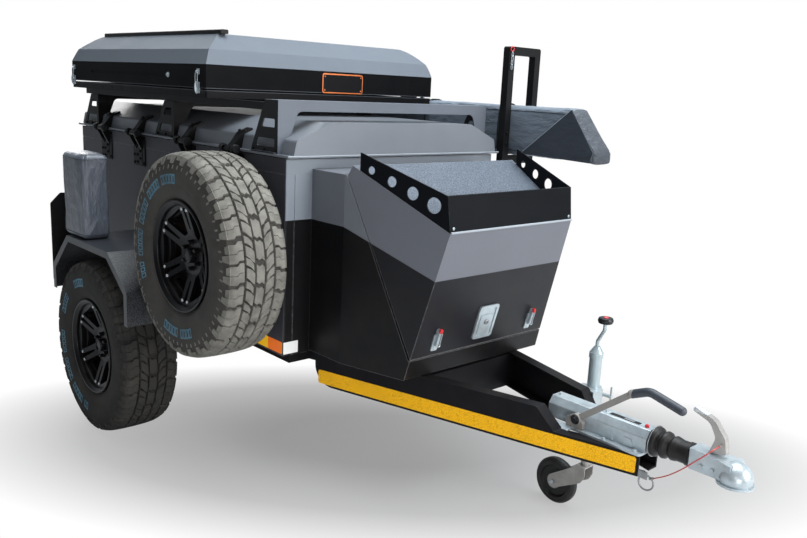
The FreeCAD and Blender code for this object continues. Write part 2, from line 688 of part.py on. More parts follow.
def make_rim(label, point, turn, with_drum):
    """A six double spoke rim about its own Z axis, with the outer lip at Z = 0."""
    lip, seat, wide = d.rim_lip_radius, d.rim_seat_radius, d.rim_width
    metal, well = d.rim_metal, d.rim_seat_radius - d.rim_well
    lip_round = metal * 0.45
    barrel = [
        (lip, 0, lip_round), (lip, -10), (seat, -15), (seat, -46, 8), (well, -66, 8), (well, -120, 8),
        (seat, -(wide - 40), 8), (seat, -(wide - 15)), (lip, -(wide - 10)), (lip, -wide), (lip - metal, -wide),
        (seat - metal, -(wide - 12)), (seat - metal, -(wide - 44)), (well - metal, -124),
        (well - metal, -62), (seat - metal, -42), (seat - metal, -12, 6), (lip - metal, 0, lip_round),
    ]
    face, face_radius = d.hub_face_depth, d.hub_face_radius
    metal = d.spoke_metal
    disc = [
        (Size.of(0), -(face - 16)), (30, -(face - 16)), (face_radius, -(face - 16), 20), (seat - 10, -24),
        (seat - 2, -24), (seat - 2, -24 - metal), (seat - 14, -24 - metal), (face_radius + 16, -face, 20),
        (Size.of(0), -face),
    ]
    rim = new_body(f"{label}_body")
    turned(rim, f"{label}_barrel", barrel)
    turned(rim, f"{label}_disc", disc)
    if with_drum:
        depth = d.track_half + d.rim_width / 2 - d.axle_drum_inner
        turned(rim, f"{label}_drum", [
            (d.stub_radius + d.running_gap, -face + 1), (face_radius - 8, -face + 1), (face_radius - 8, -190, 6),
            (d.drum_radius, -205, 10), (d.drum_radius, -depth), (d.stub_radius + d.running_gap, -depth)])
    inner, outer = face_radius + 8, seat - 16
    for kind, outline in {"window": sector(inner, outer, 0, 10, 21, 9),
                          "slot": sector(inner + 16, outer, 180 / SPOKE_PAIRS, 2.5, 3.2, 3)}.items():
        sketch = body_sketch(rim, f"{label}_{kind}_outline", "XY_Plane", outline)
        pocket = rim.newObject("PartDesign::Pocket", f"{label}_{kind}")
        pocket.Profile = sketch
        bind(pocket, Length=face + 1)
        doc.recompute()
        pattern = rim.newObject("PartDesign::PolarPattern", f"{label}_{kind}s")
        pattern.Originals = [pocket]
        pattern.Axis = (sketch, ["N_Axis"])
        pattern.Angle = 360
        pattern.Occurrences = SPOKE_PAIRS
        rim.Tip = pattern
        doc.recompute()
    return body_node(label, rim, point, turn)


def make_tyre(label, point, turn):
    """An open-bellied tyre about its own Z axis, with its middle at Z = 0."""
    radius, half, tread = d.tyre_radius, d.tyre_width / 2, d.tread_width / 2
    bead = d.rim_seat_radius + d.seat_gap
    lip = d.rim_width / 2
    outline = [
        (bead, -(lip - 17)), (bead + 16, -(lip - 11), 10), (bead + 34, -(lip + 6), 20), (bead + 80, -half, 60),
        (bead + 118, -half, 60), (radius - 34, -(half - 6), 30), (radius - 9, -tread, 18),
        (radius, -(tread - 16), 30),
    ]
    inner = [(radius - 24, -(tread - 26)), (radius - 44, -(half - 22)), (bead + 80, -(half - 15)),
             (bead + 18, -(lip - 36)), (bead, -(lip - 40))]

    def mirrored(points):
        return [(spot[0], -Size.of(spot[1])) + tuple(spot[2:]) for spot in reversed(points)]

    tyre = new_body(f"{label}_body")
    turned(tyre, f"{label}_carcass", outline + mirrored(outline) + mirrored(inner) + inner)
    return body_node(label, tyre, point, turn)

OUTWARD = {-1: Rotation(Vector(1, 0, 0), 90), 1: Rotation(Vector(1, 0, 0), -90)}
for name, side in SIDES.items():
    make_tyre(f"tyre_{name}", (Size.of(0), d.track_half * side, d.tyre_radius), OUTWARD[side])
    make_rim(f"rim_{name}", (Size.of(0), (d.track_half + d.rim_width / 2) * side, d.tyre_radius),
             OUTWARD[side], True)
make_tyre("spare_tyre", (d.spare_ahead, -d.spare_track, d.spare_high), OUTWARD[-1])
make_rim("spare_rim", (d.spare_ahead, -(d.spare_track + d.rim_width / 2), d.spare_high), OUTWARD[-1], False)

# Axle and springs
beam = d.axle_beam_side / 2
drum_inner = d.axle_drum_inner
axle_parts = [block("axle_beam_tube", (-beam, -(drum_inner - 12), d.tyre_radius - beam),
                    (beam, drum_inner - 12, d.tyre_radius + beam))]
for name, side in SIDES.items():
    low, high = across(side, drum_inner - 20, drum_inner - 6)
    axle_parts.append(rod(f"backing_plate_{name}", "Y", (Size.of(0), low, d.tyre_radius),
                          d.drum_radius, high - low))
    low, high = across(side, drum_inner - 14, d.track_half + d.rim_width / 2 - d.hub_face_depth - 4)
    axle_parts.append(rod(f"stub_{name}", "Y", (Size.of(0), low, d.tyre_radius), d.stub_radius, high - low))
    low, high = across(side, d.chassis_half - d.spring_width / 2 - 4, d.chassis_half + d.spring_width / 2 + 4)
    axle_parts.append(block(f"spring_pad_{name}", (-beam - 12, low, d.tyre_radius + beam - 2),
                            (beam + 12, high, d.tyre_radius + beam + 6)))
node("axle_beam", [fuse("axle", axle_parts)])

eye_high = d.tyre_radius + d.axle_beam_side / 2 + 6 + d.spring_leaf * 3 + d.spring_sweep
spring_solids = []
for name, side in SIDES.items():
    low, high = across(side, d.chassis_half - d.spring_width / 2, d.chassis_half + d.spring_width / 2)
    leaves = []
    seat = d.tyre_radius + d.axle_beam_side / 2 + 6
    for leaf in range(4):
        reach = d.spring_span_half * (0.42 + 0.193 * leaf) if leaf < 3 else d.spring_span_half
        under = seat + d.spring_leaf * leaf
        rise = d.spring_sweep * (reach / d.spring_span_half) * (reach / d.spring_span_half)
        flat, low_sweep, top = reach * 0.35, rise * 0.12, d.spring_leaf + 0.2
        points = [(-reach, under + rise), (-flat, under + low_sweep, d.spring_bow),
                  (flat, under + low_sweep, d.spring_bow), (reach, under + rise), (reach, under + rise + top),
                  (flat, under + low_sweep + top, d.spring_bow), (-flat, under + low_sweep + top, d.spring_bow),
                  (-reach, under + rise + top)]
        leaves.append(prism(f"leaf_{name}_{leaf}", "XZ", points, low, high))
    for end in (-1, 1):
        leaves.append(rod(f"spring_eye_{name}_{end + 1}", "Y",
                          (d.spring_span_half * end, low, eye_high), Size.of(12), high - low))
    leaves.append(block(f"spring_clamp_{name}", (-(beam + 8), low - 3, seat), (beam + 8, high + 3, seat + 46)))
    spring_solids.append(fuse(f"leaf_spring_{name}", leaves))
node("leaf_springs", spring_solids)

# Chassis
tube = d.chassis_tube
tube_low = d.body_low - tube
chassis_parts = []
for name, side in SIDES.items():
    low, high = across(side, d.chassis_half - tube / 2, d.chassis_half + tube / 2)
    chassis_parts.append(block(f"chassis_tube_{name}", (-(d.body_rear - 6), low, tube_low),
                               (d.body_front - 40, high, d.body_low)))
    for end in (-1, 1):
        middle = d.spring_span_half * end
        cheek_low, cheek_high = across(side, d.chassis_half - d.spring_width / 2 - 8,
                                       d.chassis_half + d.spring_width / 2 + 8)
        hanger = block(f"hanger_{name}_{end + 1}", (middle - 24, cheek_low, eye_high - 22),
                       (middle + 24, cheek_high, tube_low + 8))
        gap_low, gap_high = across(side, d.chassis_half - d.spring_width / 2 - d.seat_gap,
                                   d.chassis_half + d.spring_width / 2 + d.seat_gap)
        slot = block(f"hanger_slot_{name}_{end + 1}", (middle - 30, gap_low, eye_high - 30),
                     (middle + 30, gap_high, eye_high + 14))
        chassis_parts.append(cut(f"hanger_forked_{name}_{end + 1}", hanger, [slot]))
cross_half = d.chassis_half - tube / 2 + 1
for index, middle in enumerate((-(d.body_rear - 31), -d.spring_span_half, Size.of(0), d.spring_span_half,
                                d.rail_rear - 225, d.body_front - 65)):
    chassis_parts.append(block(f"cross_tube_{index}", (middle - tube / 2, -cross_half, tube_low),
                               (middle + tube / 2, cross_half, d.body_low)))
node("chassis_frame", [fuse("chassis", chassis_parts)])

# Drawbar
rail_butt = d.body_front - 40 + d.seat_gap
rail_slope = (d.rail_rear_half - d.rail_front_half) / (d.rail_front - d.rail_rear)


def rail_half(ahead):
    """Half width over the drawbar at a distance ahead of the axle."""
    return d.rail_rear_half - rail_slope * (ahead - d.rail_rear)


def rail_strip(name, side, inner, outer):
    """A strip that follows a rail in plan, between two insets from its outer face."""
    rear, front = rail_butt, d.rail_front
    points = [(rear, (rail_half(rear) - outer) * side), (front, (rail_half(front) - outer) * side),
              (front, (rail_half(front) - inner) * side), (rear, (rail_half(rear) - inner) * side)]
    return prism(name, "XY", points, d.rail_low - 5, d.body_low + 5)


def rail_profile(metal):
    """Side outline of a rail, drawn in by a thickness above and below."""
    rear, low, high = d.rail_rear + metal, d.rail_low + metal, d.rail_high - metal
    nose_high, bend = d.rail_nose_high - metal, d.rail_step_bend
    return [(rear, tube_low + metal), (rear, low, d.rail_end_radius - metal), (d.rail_front, low),
            (d.rail_front, nose_high), (d.rail_step_front - metal * 0.5, nose_high, bend),
            (d.rail_step_rear - metal * 0.5, high, bend), (rail_butt, high), (rail_butt, tube_low + metal)]


rail_clear = d.rail_rear_half + 200
for name, side in SIDES.items():
    outer = common(f"rail_outer_{name}", [
        prism(f"rail_profile_{name}", "XZ", rail_profile(Size.of(0)), -rail_clear, rail_clear),
        rail_strip(f"rail_plan_{name}", side, Size.of(0), d.rail_flange)])
    hollow = common(f"rail_hollow_{name}", [
        prism(f"rail_inner_{name}", "XZ", rail_profile(d.rail_metal), -rail_clear, rail_clear),
        rail_strip(f"rail_inner_plan_{name}", side, d.rail_metal, d.rail_flange + 20)])
    node(f"drawbar_rail_{name}", [cut(f"rail_{name}", outer, [hollow])])

tie_rear, tie_front = d.nose_foot_front - d.tie_depth - d.tie_back, d.nose_foot_front - d.tie_back
tie_low, tie_high = d.rail_low + d.rail_metal, d.rail_high - d.rail_metal
tie_side = d.rail_metal + d.seat_gap
tie_plan = [(tie_rear, -(rail_half(tie_rear) - tie_side)), (tie_front, -(rail_half(tie_front) - tie_side)),
            (tie_front, rail_half(tie_front) - tie_side), (tie_rear, rail_half(tie_rear) - tie_side)]
tie_outer = prism("tie_outer", "XY", tie_plan, tie_low, tie_high)
tie_inner = prism("tie_inner", "XZ", box_outline(
    (tie_rear - d.tie_depth, tie_low + d.rail_metal), (tie_front - d.rail_metal, tie_high - d.rail_metal), 8),
    -d.rail_rear_half, d.rail_rear_half)
node("drawbar_tie", [cut("tie", tie_outer, [tie_inner])])

# Body tub
wall = d.body_wall
gap = d.door_gap
body_plan = box_outline((-d.body_rear, -d.body_half), (d.body_front, d.body_half), d.body_edge)
shell = prism("tub_outer", "XY", body_plan, d.body_low, d.body_high)
room = block("tub_room", (-(d.body_rear - wall), -(d.body_half - wall), d.body_low + wall),
             (d.body_front - wall, d.body_half - wall, d.body_high + 10))
doorway = prism("tub_doorway", "YZ", box_outline(
    (-(d.gate_half + gap), d.gate_low - gap), (d.gate_half + gap, d.gate_high + gap), d.gate_corner + gap),
    -(d.body_rear + 10), -(d.body_rear - wall - 10))
seam = d.seam_width / 2
ring_outer = block("seam_outer", (-(d.body_rear + 5), -(d.body_half + 5), d.seam_height - seam),
                   (d.body_front + 5, d.body_half + 5, d.seam_height + seam))
ring_inner = prism("seam_inner", "XY", body_plan, d.seam_height - 10, d.seam_height + 10, inward=d.seam_depth)
cutters = [room, doorway, cut("seam_ring", ring_outer, [ring_inner])]
for name, side in SIDES.items():
    middle = (d.body_half - d.front_seam_inset) * side
    cutters.append(block(f"front_seam_{name}", (d.body_front - d.seam_depth, middle - seam, d.body_low - 5),
                         (d.body_front + 5, middle + seam, d.seam_height)))
node("body_tub", [cut("tub", shell, cutters)])

# Tailgate
gate_panel = prism("gate_panel", "YZ", box_outline(
    (-d.gate_half, d.gate_low), (d.gate_half, d.gate_high), d.gate_corner), -d.body_rear, -(d.body_rear - wall))
gate_axis = (-(d.body_rear + d.knuckle_radius), d.gate_low - gap / 2)
press_side = d.gate_press_inset
gate_parts = [gate_panel, prism("gate_press", "YZ", box_outline(
    (-(d.gate_half - press_side), d.gate_low + press_side), (d.gate_half - press_side, d.gate_high - press_side),
    d.gate_corner), -(d.body_rear + 4), -(d.body_rear - 2))]
gate_bores, gate_fixed = [], []
for name, side in SIDES.items():
    middle = (d.gate_half - 130) * side
    fixed, moving, bore = hinge(f"gate_hinge_{name}", "Y", (gate_axis[0], middle, gate_axis[1]), Size.of(90),
                                d.knuckle_radius, d.hinge_pin)
    leaf = block(f"gate_leaf_{name}", (-(d.body_rear + 4), middle - 18, gate_axis[1]),
                 (-(d.body_rear - 1), middle + 18, d.gate_low + 60))
    gate_parts += [moving, leaf]
    gate_bores.append(bore)
    for end in (-1, 1):
        near = middle + 32 * end
        fixed.append(block(f"gate_foot_{name}_{end + 1}", (-(d.body_rear + 4), near - 12.5, gate_axis[1] - 42),
                           (-d.body_rear, near + 12.5, gate_axis[1])))
    gate_fixed.append(fuse(f"gate_hinge_base_{name}", fixed))
    gate_parts.append(prism(f"gate_latch_{name}", "YZ", box_outline(
        (middle - 22, d.gate_high - 62), (middle + 22, d.gate_high - 6), 8), -(d.body_rear + 16), -(d.body_rear - 1)))
node("tailgate", [cut("gate", fuse("gate_solid", gate_parts), gate_bores)])
node("tailgate_hinges", gate_fixed)

# Fenders
for name, side in SIDES.items():
    def fender_outline(low, bend):
        return [(-d.fender_rear, low), (d.fender_front, low), (d.fender_front, d.fender_front_corner, bend),
                (d.fender_flat_front, d.fender_high, bend), (-d.fender_flat_rear, d.fender_high, bend),
                (-d.fender_rear, d.fender_rear_corner, bend)]

    low, high = across(side, d.body_half, d.fender_half)
    outer = prism(f"fender_outer_{name}", "XZ", fender_outline(d.fender_low, d.fender_bend), low, high)
    open_low = d.fender_low - d.fender_lip * 2
    lip_low, lip_high = across(side, d.body_half - 5, d.fender_half - d.fender_metal)
    hollow = prism(f"fender_hollow_{name}", "XZ", fender_outline(open_low, d.fender_bend), lip_low, lip_high,
                   inward=d.fender_metal)
    mouth = prism(f"fender_mouth_{name}", "XZ", fender_outline(open_low, d.fender_lip + 2), low - 5, high + 5,
                  inward=d.fender_lip)
    node(f"fender_{name}", [cut(f"fender_sheet_{name}", outer, [hollow, mouth])])

# Lamp plates and tail lamps
plate_solids, lamp_solids = [], []
for name, side in SIDES.items():
    inner = d.fender_half - d.lamp_plate_width
    chamfer, outer = d.lamp_plate_chamfer, d.fender_half
    points = [(inner * side, d.lamp_plate_low, 6), (outer * side, d.lamp_plate_low, 6),
              (outer * side, d.lamp_plate_high - chamfer, 12), ((outer - chamfer) * side, d.lamp_plate_high, 12),
              (inner * side, d.lamp_plate_high, 6)]
    back, lamp_low = -(d.fender_rear + d.lamp_plate_metal), d.lamp_plate_low + d.lamp_rise
    plate_solids.append(prism(f"lamp_plate_{name}", "YZ", points, back, -d.fender_rear))
    low, high = across(side, inner + d.lamp_margin, inner + d.lamp_margin + d.lamp_width)
    lamp_solids.append(prism(f"tail_lamp_{name}", "YZ", box_outline(
        (low, lamp_low), (high, lamp_low + d.lamp_height), 14), back - d.lamp_depth, back))
node("lamp_plates", plate_solids)
node("tail_lamps", lamp_solids)

# Spare wheel carrier
hub_face = d.spare_track + d.rim_width / 2 - d.hub_face_depth
foot_half, carrier_long = d.carrier_foot_half, hub_face - d.seat_gap - d.body_half - 2
carrier_neck = d.carrier_radius * 0.8
carrier_parts = [
    prism("carrier_foot", "XZ", box_outline(
        (d.spare_ahead - foot_half, d.spare_high - foot_half),
        (d.spare_ahead + foot_half, d.spare_high + foot_half), 24), -(d.body_half + d.carrier_plate), -d.body_half),
    turned_solid("carrier_drum", [
        (Size.of(0), Size.of(0)), (foot_half - 14, Size.of(0)), (carrier_neck, d.carrier_plate * 4, 30),
        (carrier_neck, carrier_long - 24), (d.carrier_radius, carrier_long - 16), (d.carrier_radius, carrier_long),
        (Size.of(0), carrier_long)],
        (d.spare_ahead, -(d.body_half + 2), d.spare_high), OUTWARD[-1]),
]
node("spare_carrier", [fuse("carrier", carrier_parts)])

# Nose box
nose_rear = d.body_front + d.seat_gap
nose_plan = [(nose_rear, -d.nose_half), (d.nose_corner, -d.nose_half, 14), (d.hatch_tip_front, -d.nose_tip_half),
             (d.hatch_tip_front, d.nose_tip_half), (d.nose_corner, d.nose_half, 14), (nose_rear, d.nose_half)]
hatch_back, hatch_foot = (d.hatch_back, d.nose_shelf - 2), (d.hatch_foot_front, d.hatch_foot_high)
hatch_tip, hatch_top = (d.hatch_tip_front, d.hatch_tip_high), (d.hatch_top_back, d.hatch_top_high)
base_side = [(nose_rear, d.nose_low), (d.nose_foot_front, d.nose_low, 8),
             (d.hatch_foot_front - 1.6, d.hatch_foot_high - gap),
             (d.hatch_foot_front - gap - 2, d.hatch_foot_high - gap),
             (d.hatch_back - gap - 1, d.nose_shelf), (nose_rear, d.nose_shelf)]
high, low = d.hatch_top_high + 50, d.nose_low - 50


def plan_prism(name, inward=None):
    """The nose box's outline from above, carried up past everything on it."""
    return prism(name, "XY", nose_plan, low, high, inward)


def side_prism(name, points, inward=None):
    """An outline from the side, carried across the whole nose box."""
    return prism(name, "XZ", points, -(d.nose_half + 20), d.nose_half + 20, inward)


def beyond(start, end, share):
    """A point past the start of the line from start to end, by a share of its length."""
    return start[0] - (end[0] - start[0]) * share, start[1] - (end[1] - start[1]) * share


base_outer = common("nose_base_outer", [plan_prism("nose_plan"), side_prism("nose_side", base_side)])
room_rear, room_low, room_high = nose_rear + d.nose_wall, d.nose_low + d.nose_wall, d.nose_shelf - d.nose_wall
lip_high, shelf_front = d.hatch_foot_high + d.nose_lip, d.hatch_back - gap - d.nose_shelf_depth
clear_front, clear_high = d.hatch_tip_front + 100, d.nose_shelf + 60
base_room = common("nose_base_room", [plan_prism("nose_plan_inner", d.nose_wall), side_prism("nose_side_inner", [
    (room_rear, room_low, 6), (d.nose_foot_front - d.nose_wall, room_low, 20),
    (d.hatch_foot_front - d.nose_wall * 1.3, lip_high), (clear_front, lip_high), (clear_front, clear_high),
    (shelf_front, clear_high), (shelf_front, room_high), (room_rear, room_high, 6)])])
node("nose_base", [cut("nose_tub", base_outer, [base_room])])

hatch_outer = common("hatch_outer", [plan_prism("hatch_plan"),
                                     side_prism("hatch_side", [hatch_back, hatch_foot, hatch_tip, hatch_top])])
hatch_room = common("hatch_room", [plan_prism("hatch_plan_inner", d.nose_wall), side_prism("hatch_side_inner", [
    beyond(hatch_back, hatch_top, 2), beyond(hatch_foot, hatch_tip, 0.12), hatch_tip, hatch_top], d.nose_wall)])
hatch_axis = (d.hatch_back - d.hatch_hinge_back, d.nose_shelf + 26)
hatch_moving, hatch_bores, hatch_fixed = [], [], []
for index, share in enumerate((-0.55, 0.0, 0.55)):
    middle = d.nose_half * share
    fixed, moving, bore = hinge(f"hatch_hinge_{index}", "Y", (hatch_axis[0], middle, hatch_axis[1]), Size.of(100),
                                d.knuckle_radius, d.hinge_pin)
    strap = block(f"hatch_strap_{index}", (hatch_axis[0], middle - 20, hatch_axis[1] - 3),
                  (d.hatch_top_back + 12, middle + 20, hatch_axis[1] + 3))
    hatch_moving += [moving, strap]
    hatch_bores.append(bore)
    for end in (-1, 1):
        near = middle + 35.25 * end
        fixed.append(prism(f"hatch_foot_{index}_{end + 1}", "XZ", [
            (hatch_axis[0] - 62, d.nose_shelf), (hatch_axis[0], d.nose_shelf), (hatch_axis[0] + 2, hatch_axis[1]),
            (hatch_axis[0] - 6, hatch_axis[1]), (hatch_axis[0] - 18, d.nose_shelf + 8),
            (hatch_axis[0] - 62, d.nose_shelf + 8)], near - 14, near + 14))
    hatch_fixed.append(fuse(f"hatch_hinge_base_{index}", fixed))
hatch_solid = fuse("hatch_solid", [cut("hatch_shell", hatch_outer, [hatch_room])] + hatch_moving)
node("nose_hatch", [cut("hatch", hatch_solid, hatch_bores)])
node("hatch_hinges", hatch_fixed)

# Stone tray on the hatch
roof_slope = (d.hatch_top_high - d.hatch_tip_high) / (d.hatch_tip_front - d.hatch_top_back)


def roof_high(ahead):
    """Height of the hatch's sloping top at a distance ahead of the axle."""
    return d.hatch_top_high - roof_slope * (ahead - d.hatch_top_back)


tray_toe = d.hatch_tip_front - 1
tray_side = [(d.tray_side_back, roof_high(d.tray_side_back)), (tray_toe, roof_high(tray_toe)),
             (d.tray_front, d.tray_front_high), (d.tray_side_back, d.tray_back_high)]
tray_outer = common("tray_outer", [plan_prism("tray_plan"), side_prism("tray_side", tray_side)])
tray_inside = tray_toe - d.tray_plate
tray_room_side = [(d.tray_side_back - 20, d.nose_shelf - 100), (tray_inside, d.nose_shelf - 200),
                  (tray_inside, d.hatch_tip_high), (d.tray_front - d.tray_plate, d.tray_front_high),
                  (d.tray_front - d.tray_plate - 4, d.tray_front_high + 40),
                  (d.tray_side_back - 20, d.tray_back_high + 60)]
tray_room = common("tray_room", [plan_prism("tray_plan_inner", d.tray_plate),
                                 side_prism("tray_side_inner", tray_room_side)])
tray_holes = []
for index in range(4):
    ahead = d.tray_side_back + d.tray_hole_back + d.tray_hole_pitch * index
    radius = d.tray_hole_first + d.tray_hole_growth * index
    centre_high = roof_high(ahead) + radius + d.tray_hole_rise + 5 * index
    tray_holes.append(rod(f"tray_hole_{index}", "Y", (ahead, -(d.nose_half + 10), centre_high), radius,
                          (d.nose_half + 10) * 2))
node("stone_tray", [cut("tray", tray_outer, [tray_room] + tray_holes)])

# Hatch latches and lock plate
face_slope = (d.hatch_tip_front - d.hatch_foot_front) / (d.hatch_tip_high - d.hatch_foot_high)


def face_ahead(height):
    """Distance ahead of the axle of the hatch's front face at a height."""
    return d.hatch_foot_front + face_slope * (height - d.hatch_foot_high)


def face_plate(name, middle, half, low, high, depth, corner):
    """A plate with rounded corners that lies on the hatch's sloping front face."""
    points = [(face_ahead(low), low), (face_ahead(low) + depth, low), (face_ahead(high) + depth, high),
              (face_ahead(high), high)]
    slab = prism(f"{name}_slab", "XZ", points, middle - half, middle + half)
    window = prism(f"{name}_window", "YZ", box_outline((middle - half, low), (middle + half, high), corner),
                   d.hatch_foot_front - 50, d.hatch_tip_front + 50)
    return common(name, [slab, window])


latch_parts = []
for name, side in SIDES.items():
    middle = d.latch_out * side
    foot = d.hatch_foot_high + d.latch_rise
    latch_parts.append(fuse(f"hatch_latch_{name}", [
        face_plate(f"latch_base_{name}", middle, Size.of(16), foot, foot + 70, Size.of(5), 6),
        face_plate(f"latch_lever_{name}", middle, Size.of(8), foot + 20, foot + 92, Size.of(16), 7)]))
lock_low, lock_middle = d.hatch_foot_high + d.lock_rise, Size.of(-12)
lock_high = lock_low + d.lock_height
lock_frame = face_plate("lock_frame", lock_middle, d.lock_half, lock_low, lock_high, Size.of(8), 14)
lock_dish = face_plate("lock_dish", lock_middle, d.lock_half - 12, lock_low + 12, lock_high - 12, Size.of(9), 10)
lock_floor = face_plate("lock_floor", lock_middle, d.lock_half - 6, lock_low + 6, lock_high - 6, Size.of(3), 10)
lock_paddle = face_plate("lock_paddle", lock_middle, d.lock_half - 20, lock_low + 22, lock_high - 40, Size.of(7), 8)
latch_parts.append(fuse("lock_plate", [cut("lock_rim", lock_frame, [lock_dish]), lock_floor, lock_paddle]))
node("hatch_latches", latch_parts)

# Lid
rim_low = d.body_high + d.lid_gap
rim_high = rim_low + d.lid_rim
rim_half = d.body_half + d.lid_overhang_side
lid_front, lid_rear = d.body_front + d.lid_overhang_end, -(d.body_rear + d.lid_overhang_end - 10)


def lid_section(name, clear, low, shoulder_high, high, rear, front):
    """The lid's folded section, grown outward by a clearance, from rear to front."""
    foot, shoulder = d.lid_foot_half + clear, d.lid_shoulder_half + clear
    top, fold = d.lid_top_half + clear, d.lid_fold
    points = [(-foot, low), (foot, low), (shoulder, shoulder_high, fold), (top, high, fold), (-top, high, fold),
              (-shoulder, shoulder_high, fold)]
    return prism(name, "YZ", points, rear, front)


rim_plate = prism("lid_rim_plate", "XY", box_outline((lid_rear, -rim_half), (lid_front, rim_half), d.body_edge),
                  rim_low, rim_high)
lid_hull = lid_section("lid_hull", Size.of(0), rim_low, d.lid_shoulder, d.lid_top, lid_rear, lid_front)
skin = d.lid_skin
lid_room = lid_section("lid_room", -skin, rim_low - 5, d.lid_shoulder - skin * 0.4, d.lid_top - skin,
                       lid_rear + skin, lid_front - skin)
node("lid_shell", [cut("lid", fuse("lid_solid", [rim_plate, lid_hull]), [lid_room])])

# Lid hinges: leaves on the body's right side, arms on the lid
hinge_y = -(d.body_half + d.lid_hinge_out)
hinge_z = d.body_high + d.lid_hinge_up
HINGE_PLACES = (-690, -300, 205, 610)
lid_slope = (d.lid_top - d.lid_shoulder) / (d.lid_shoulder_half - d.lid_top_half)
leaf_solids, arm_solids = [], []
width, plate, cheek = d.lid_hinge_width, d.lid_hinge_plate, d.lid_hinge_cheek
riser_low, riser_high = d.body_high - width, d.body_high - 14
riser = [(-d.body_half, riser_low), (-d.body_half, riser_high), (hinge_y + 6, hinge_z + 4),
         (hinge_y - 10, hinge_z, 4), (hinge_y - 8, hinge_z - 20, 12), (-(d.body_half + plate), riser_low)]
tip_half = d.lid_shoulder_half - d.lid_arm_reach
tip_low = d.lid_shoulder + lid_slope * d.lid_arm_reach + d.seat_gap
arm = [(hinge_y, hinge_z + 4), (-(rim_half - 4), rim_high + 2), (-(rim_half - 4), rim_high),
       (-d.lid_foot_half, rim_high), (-(d.lid_shoulder_half + 2), d.lid_shoulder), (-tip_half, tip_low),
       (-(tip_half + 2), tip_low + 10, 4), (-(d.lid_shoulder_half + 14), d.lid_shoulder + 6, 30),
       (hinge_y + 14, hinge_z + 22, 24), (hinge_y + 2, hinge_z + 12)]
for index, place_ahead in enumerate(HINGE_PLACES):
    ahead = Size.of(place_ahead)
    rear, front = ahead - width / 2, ahead + width / 2
    arm_rear, arm_front = rear + cheek + gap, front - cheek - gap
    leaf = prism(f"hinge_leaf_{index}", "XZ", [
        (ahead - width * 0.32, d.lid_hinge_low, 10), (front, d.lid_hinge_low, 10), (front, d.body_high - 6),
        (rear, d.body_high - 6), (rear, d.lid_hinge_low + width * 0.8, 30)],
        -(d.body_half + plate), -d.body_half)
    leaf_solids.append(fuse(f"hinge_leaf_whole_{index}", [
        leaf, prism(f"hinge_riser_{index}", "YZ", riser, rear, rear + cheek),
        prism(f"hinge_riser_far_{index}", "YZ", riser, front - cheek, front),
        rod(f"hinge_pin_{index}", "X", (rear, hinge_y, hinge_z), d.lid_hinge_pin, width)]))
    core = rod(f"hinge_barrel_{index}", "X", (arm_rear, hinge_y, hinge_z),
               d.lid_knuckle_radius, arm_front - arm_rear)
    bore = rod(f"hinge_bore_{index}", "X", (rear, hinge_y, hinge_z), d.lid_hinge_pin + d.running_gap, width)
    strap = prism(f"hinge_strap_{index}", "YZ", arm, arm_rear, arm_front)
    arm_solids.append(cut(f"hinge_arm_whole_{index}", fuse(f"hinge_arm_{index}", [core, strap]), [bore]))
node("lid_hinge_leaves", leaf_solids)
node("lid_hinge_arms", arm_solids)

# Portals that carry the tent above the lid
beam_high = d.tent_low - d.tent_rail_height


def make_portal(name, front, top, beam):
    """A folded sheet portal: two pierced side plates and a front sheet with a beam."""
    plate, half = d.portal_plate, d.portal_half
    foot_rear, head_rear = front - d.portal_foot, front - d.portal_head
    lean = (head_rear - foot_rear) / (top - rim_high)
    parts = []
    for side_name, side in SIDES.items():
        low, high = across(side, half - plate, half)
        flank = prism(f"{name}_flank_{side_name}", "XZ", [
            (foot_rear, rim_high, 8), (front, rim_high), (front, top), (head_rear, top)], low, high)
        holes = []
        for index, rise in enumerate((24, 100)):
            bottom, hole_top = rim_high + rise, rim_high + rise + d.portal_hole_height
            rear_low = foot_rear + lean * rise + d.portal_hole_margin
            rear_high = rear_low + lean * d.portal_hole_height
            hole_front = front - d.portal_hole_margin * 0.75
            holes.append(prism(f"{name}_hole_{side_name}_{index}", "XZ", [
                (rear_low, bottom, 6), (hole_front, bottom, 6),
                (hole_front, hole_top, 6), (rear_high, hole_top, 6)],
                low - 5, high + 5))
        parts.append(cut(f"{name}_plate_{side_name}", flank, holes))
        low, high = across(side, half - d.portal_leg_foot, half)
        parts.append(block(f"{name}_rear_lip_{side_name}", (head_rear, low, top - 40),
                           (head_rear + plate, high, top)))
        low, high = across(side, half - 1, rim_half - 1)
        parts.append(prism(f"{name}_foot_flange_{side_name}", "XY", [
            (foot_rear + 20, low), (front - 10, low), (front - 10, high), (foot_rear + 20, high)],
            rim_high, rim_high + plate))
    under = top - beam
    opening = [(-(half - d.portal_leg_foot), rim_high - 5), (half - d.portal_leg_foot, rim_high - 5),
               (half - d.portal_leg_top, under, 30), (-(half - d.portal_leg_top), under, 30)]
    sheet = prism(f"{name}_sheet", "YZ", [(-half, rim_high), (half, rim_high), (half, top), (-half, top)],
                  front - plate, front)
    clear = prism(f"{name}_opening", "YZ", opening, front - plate - 5, front + 5)
    hump = lid_section(f"{name}_hump", d.seat_gap, rim_low, d.lid_shoulder + d.seat_gap, d.lid_top + d.seat_gap,
                       front - d.portal_foot * 2, front + 50)
    roof = block(f"{name}_roof", (head_rear, -half, top - plate), (front, half, top))
    return cut(f"{name}_portal", fuse(f"{name}_welded", parts + [sheet, roof]), [clear, hump])


node("portal_front", [make_portal("front", d.front_portal_front, d.tent_low + 12, d.portal_beam)])
node("portals_rear", [make_portal("middle", d.middle_portal_front, beam_high, d.portal_beam * 0.5),
                      make_portal("rear", d.rear_portal_front, beam_high, d.portal_beam * 0.5)])

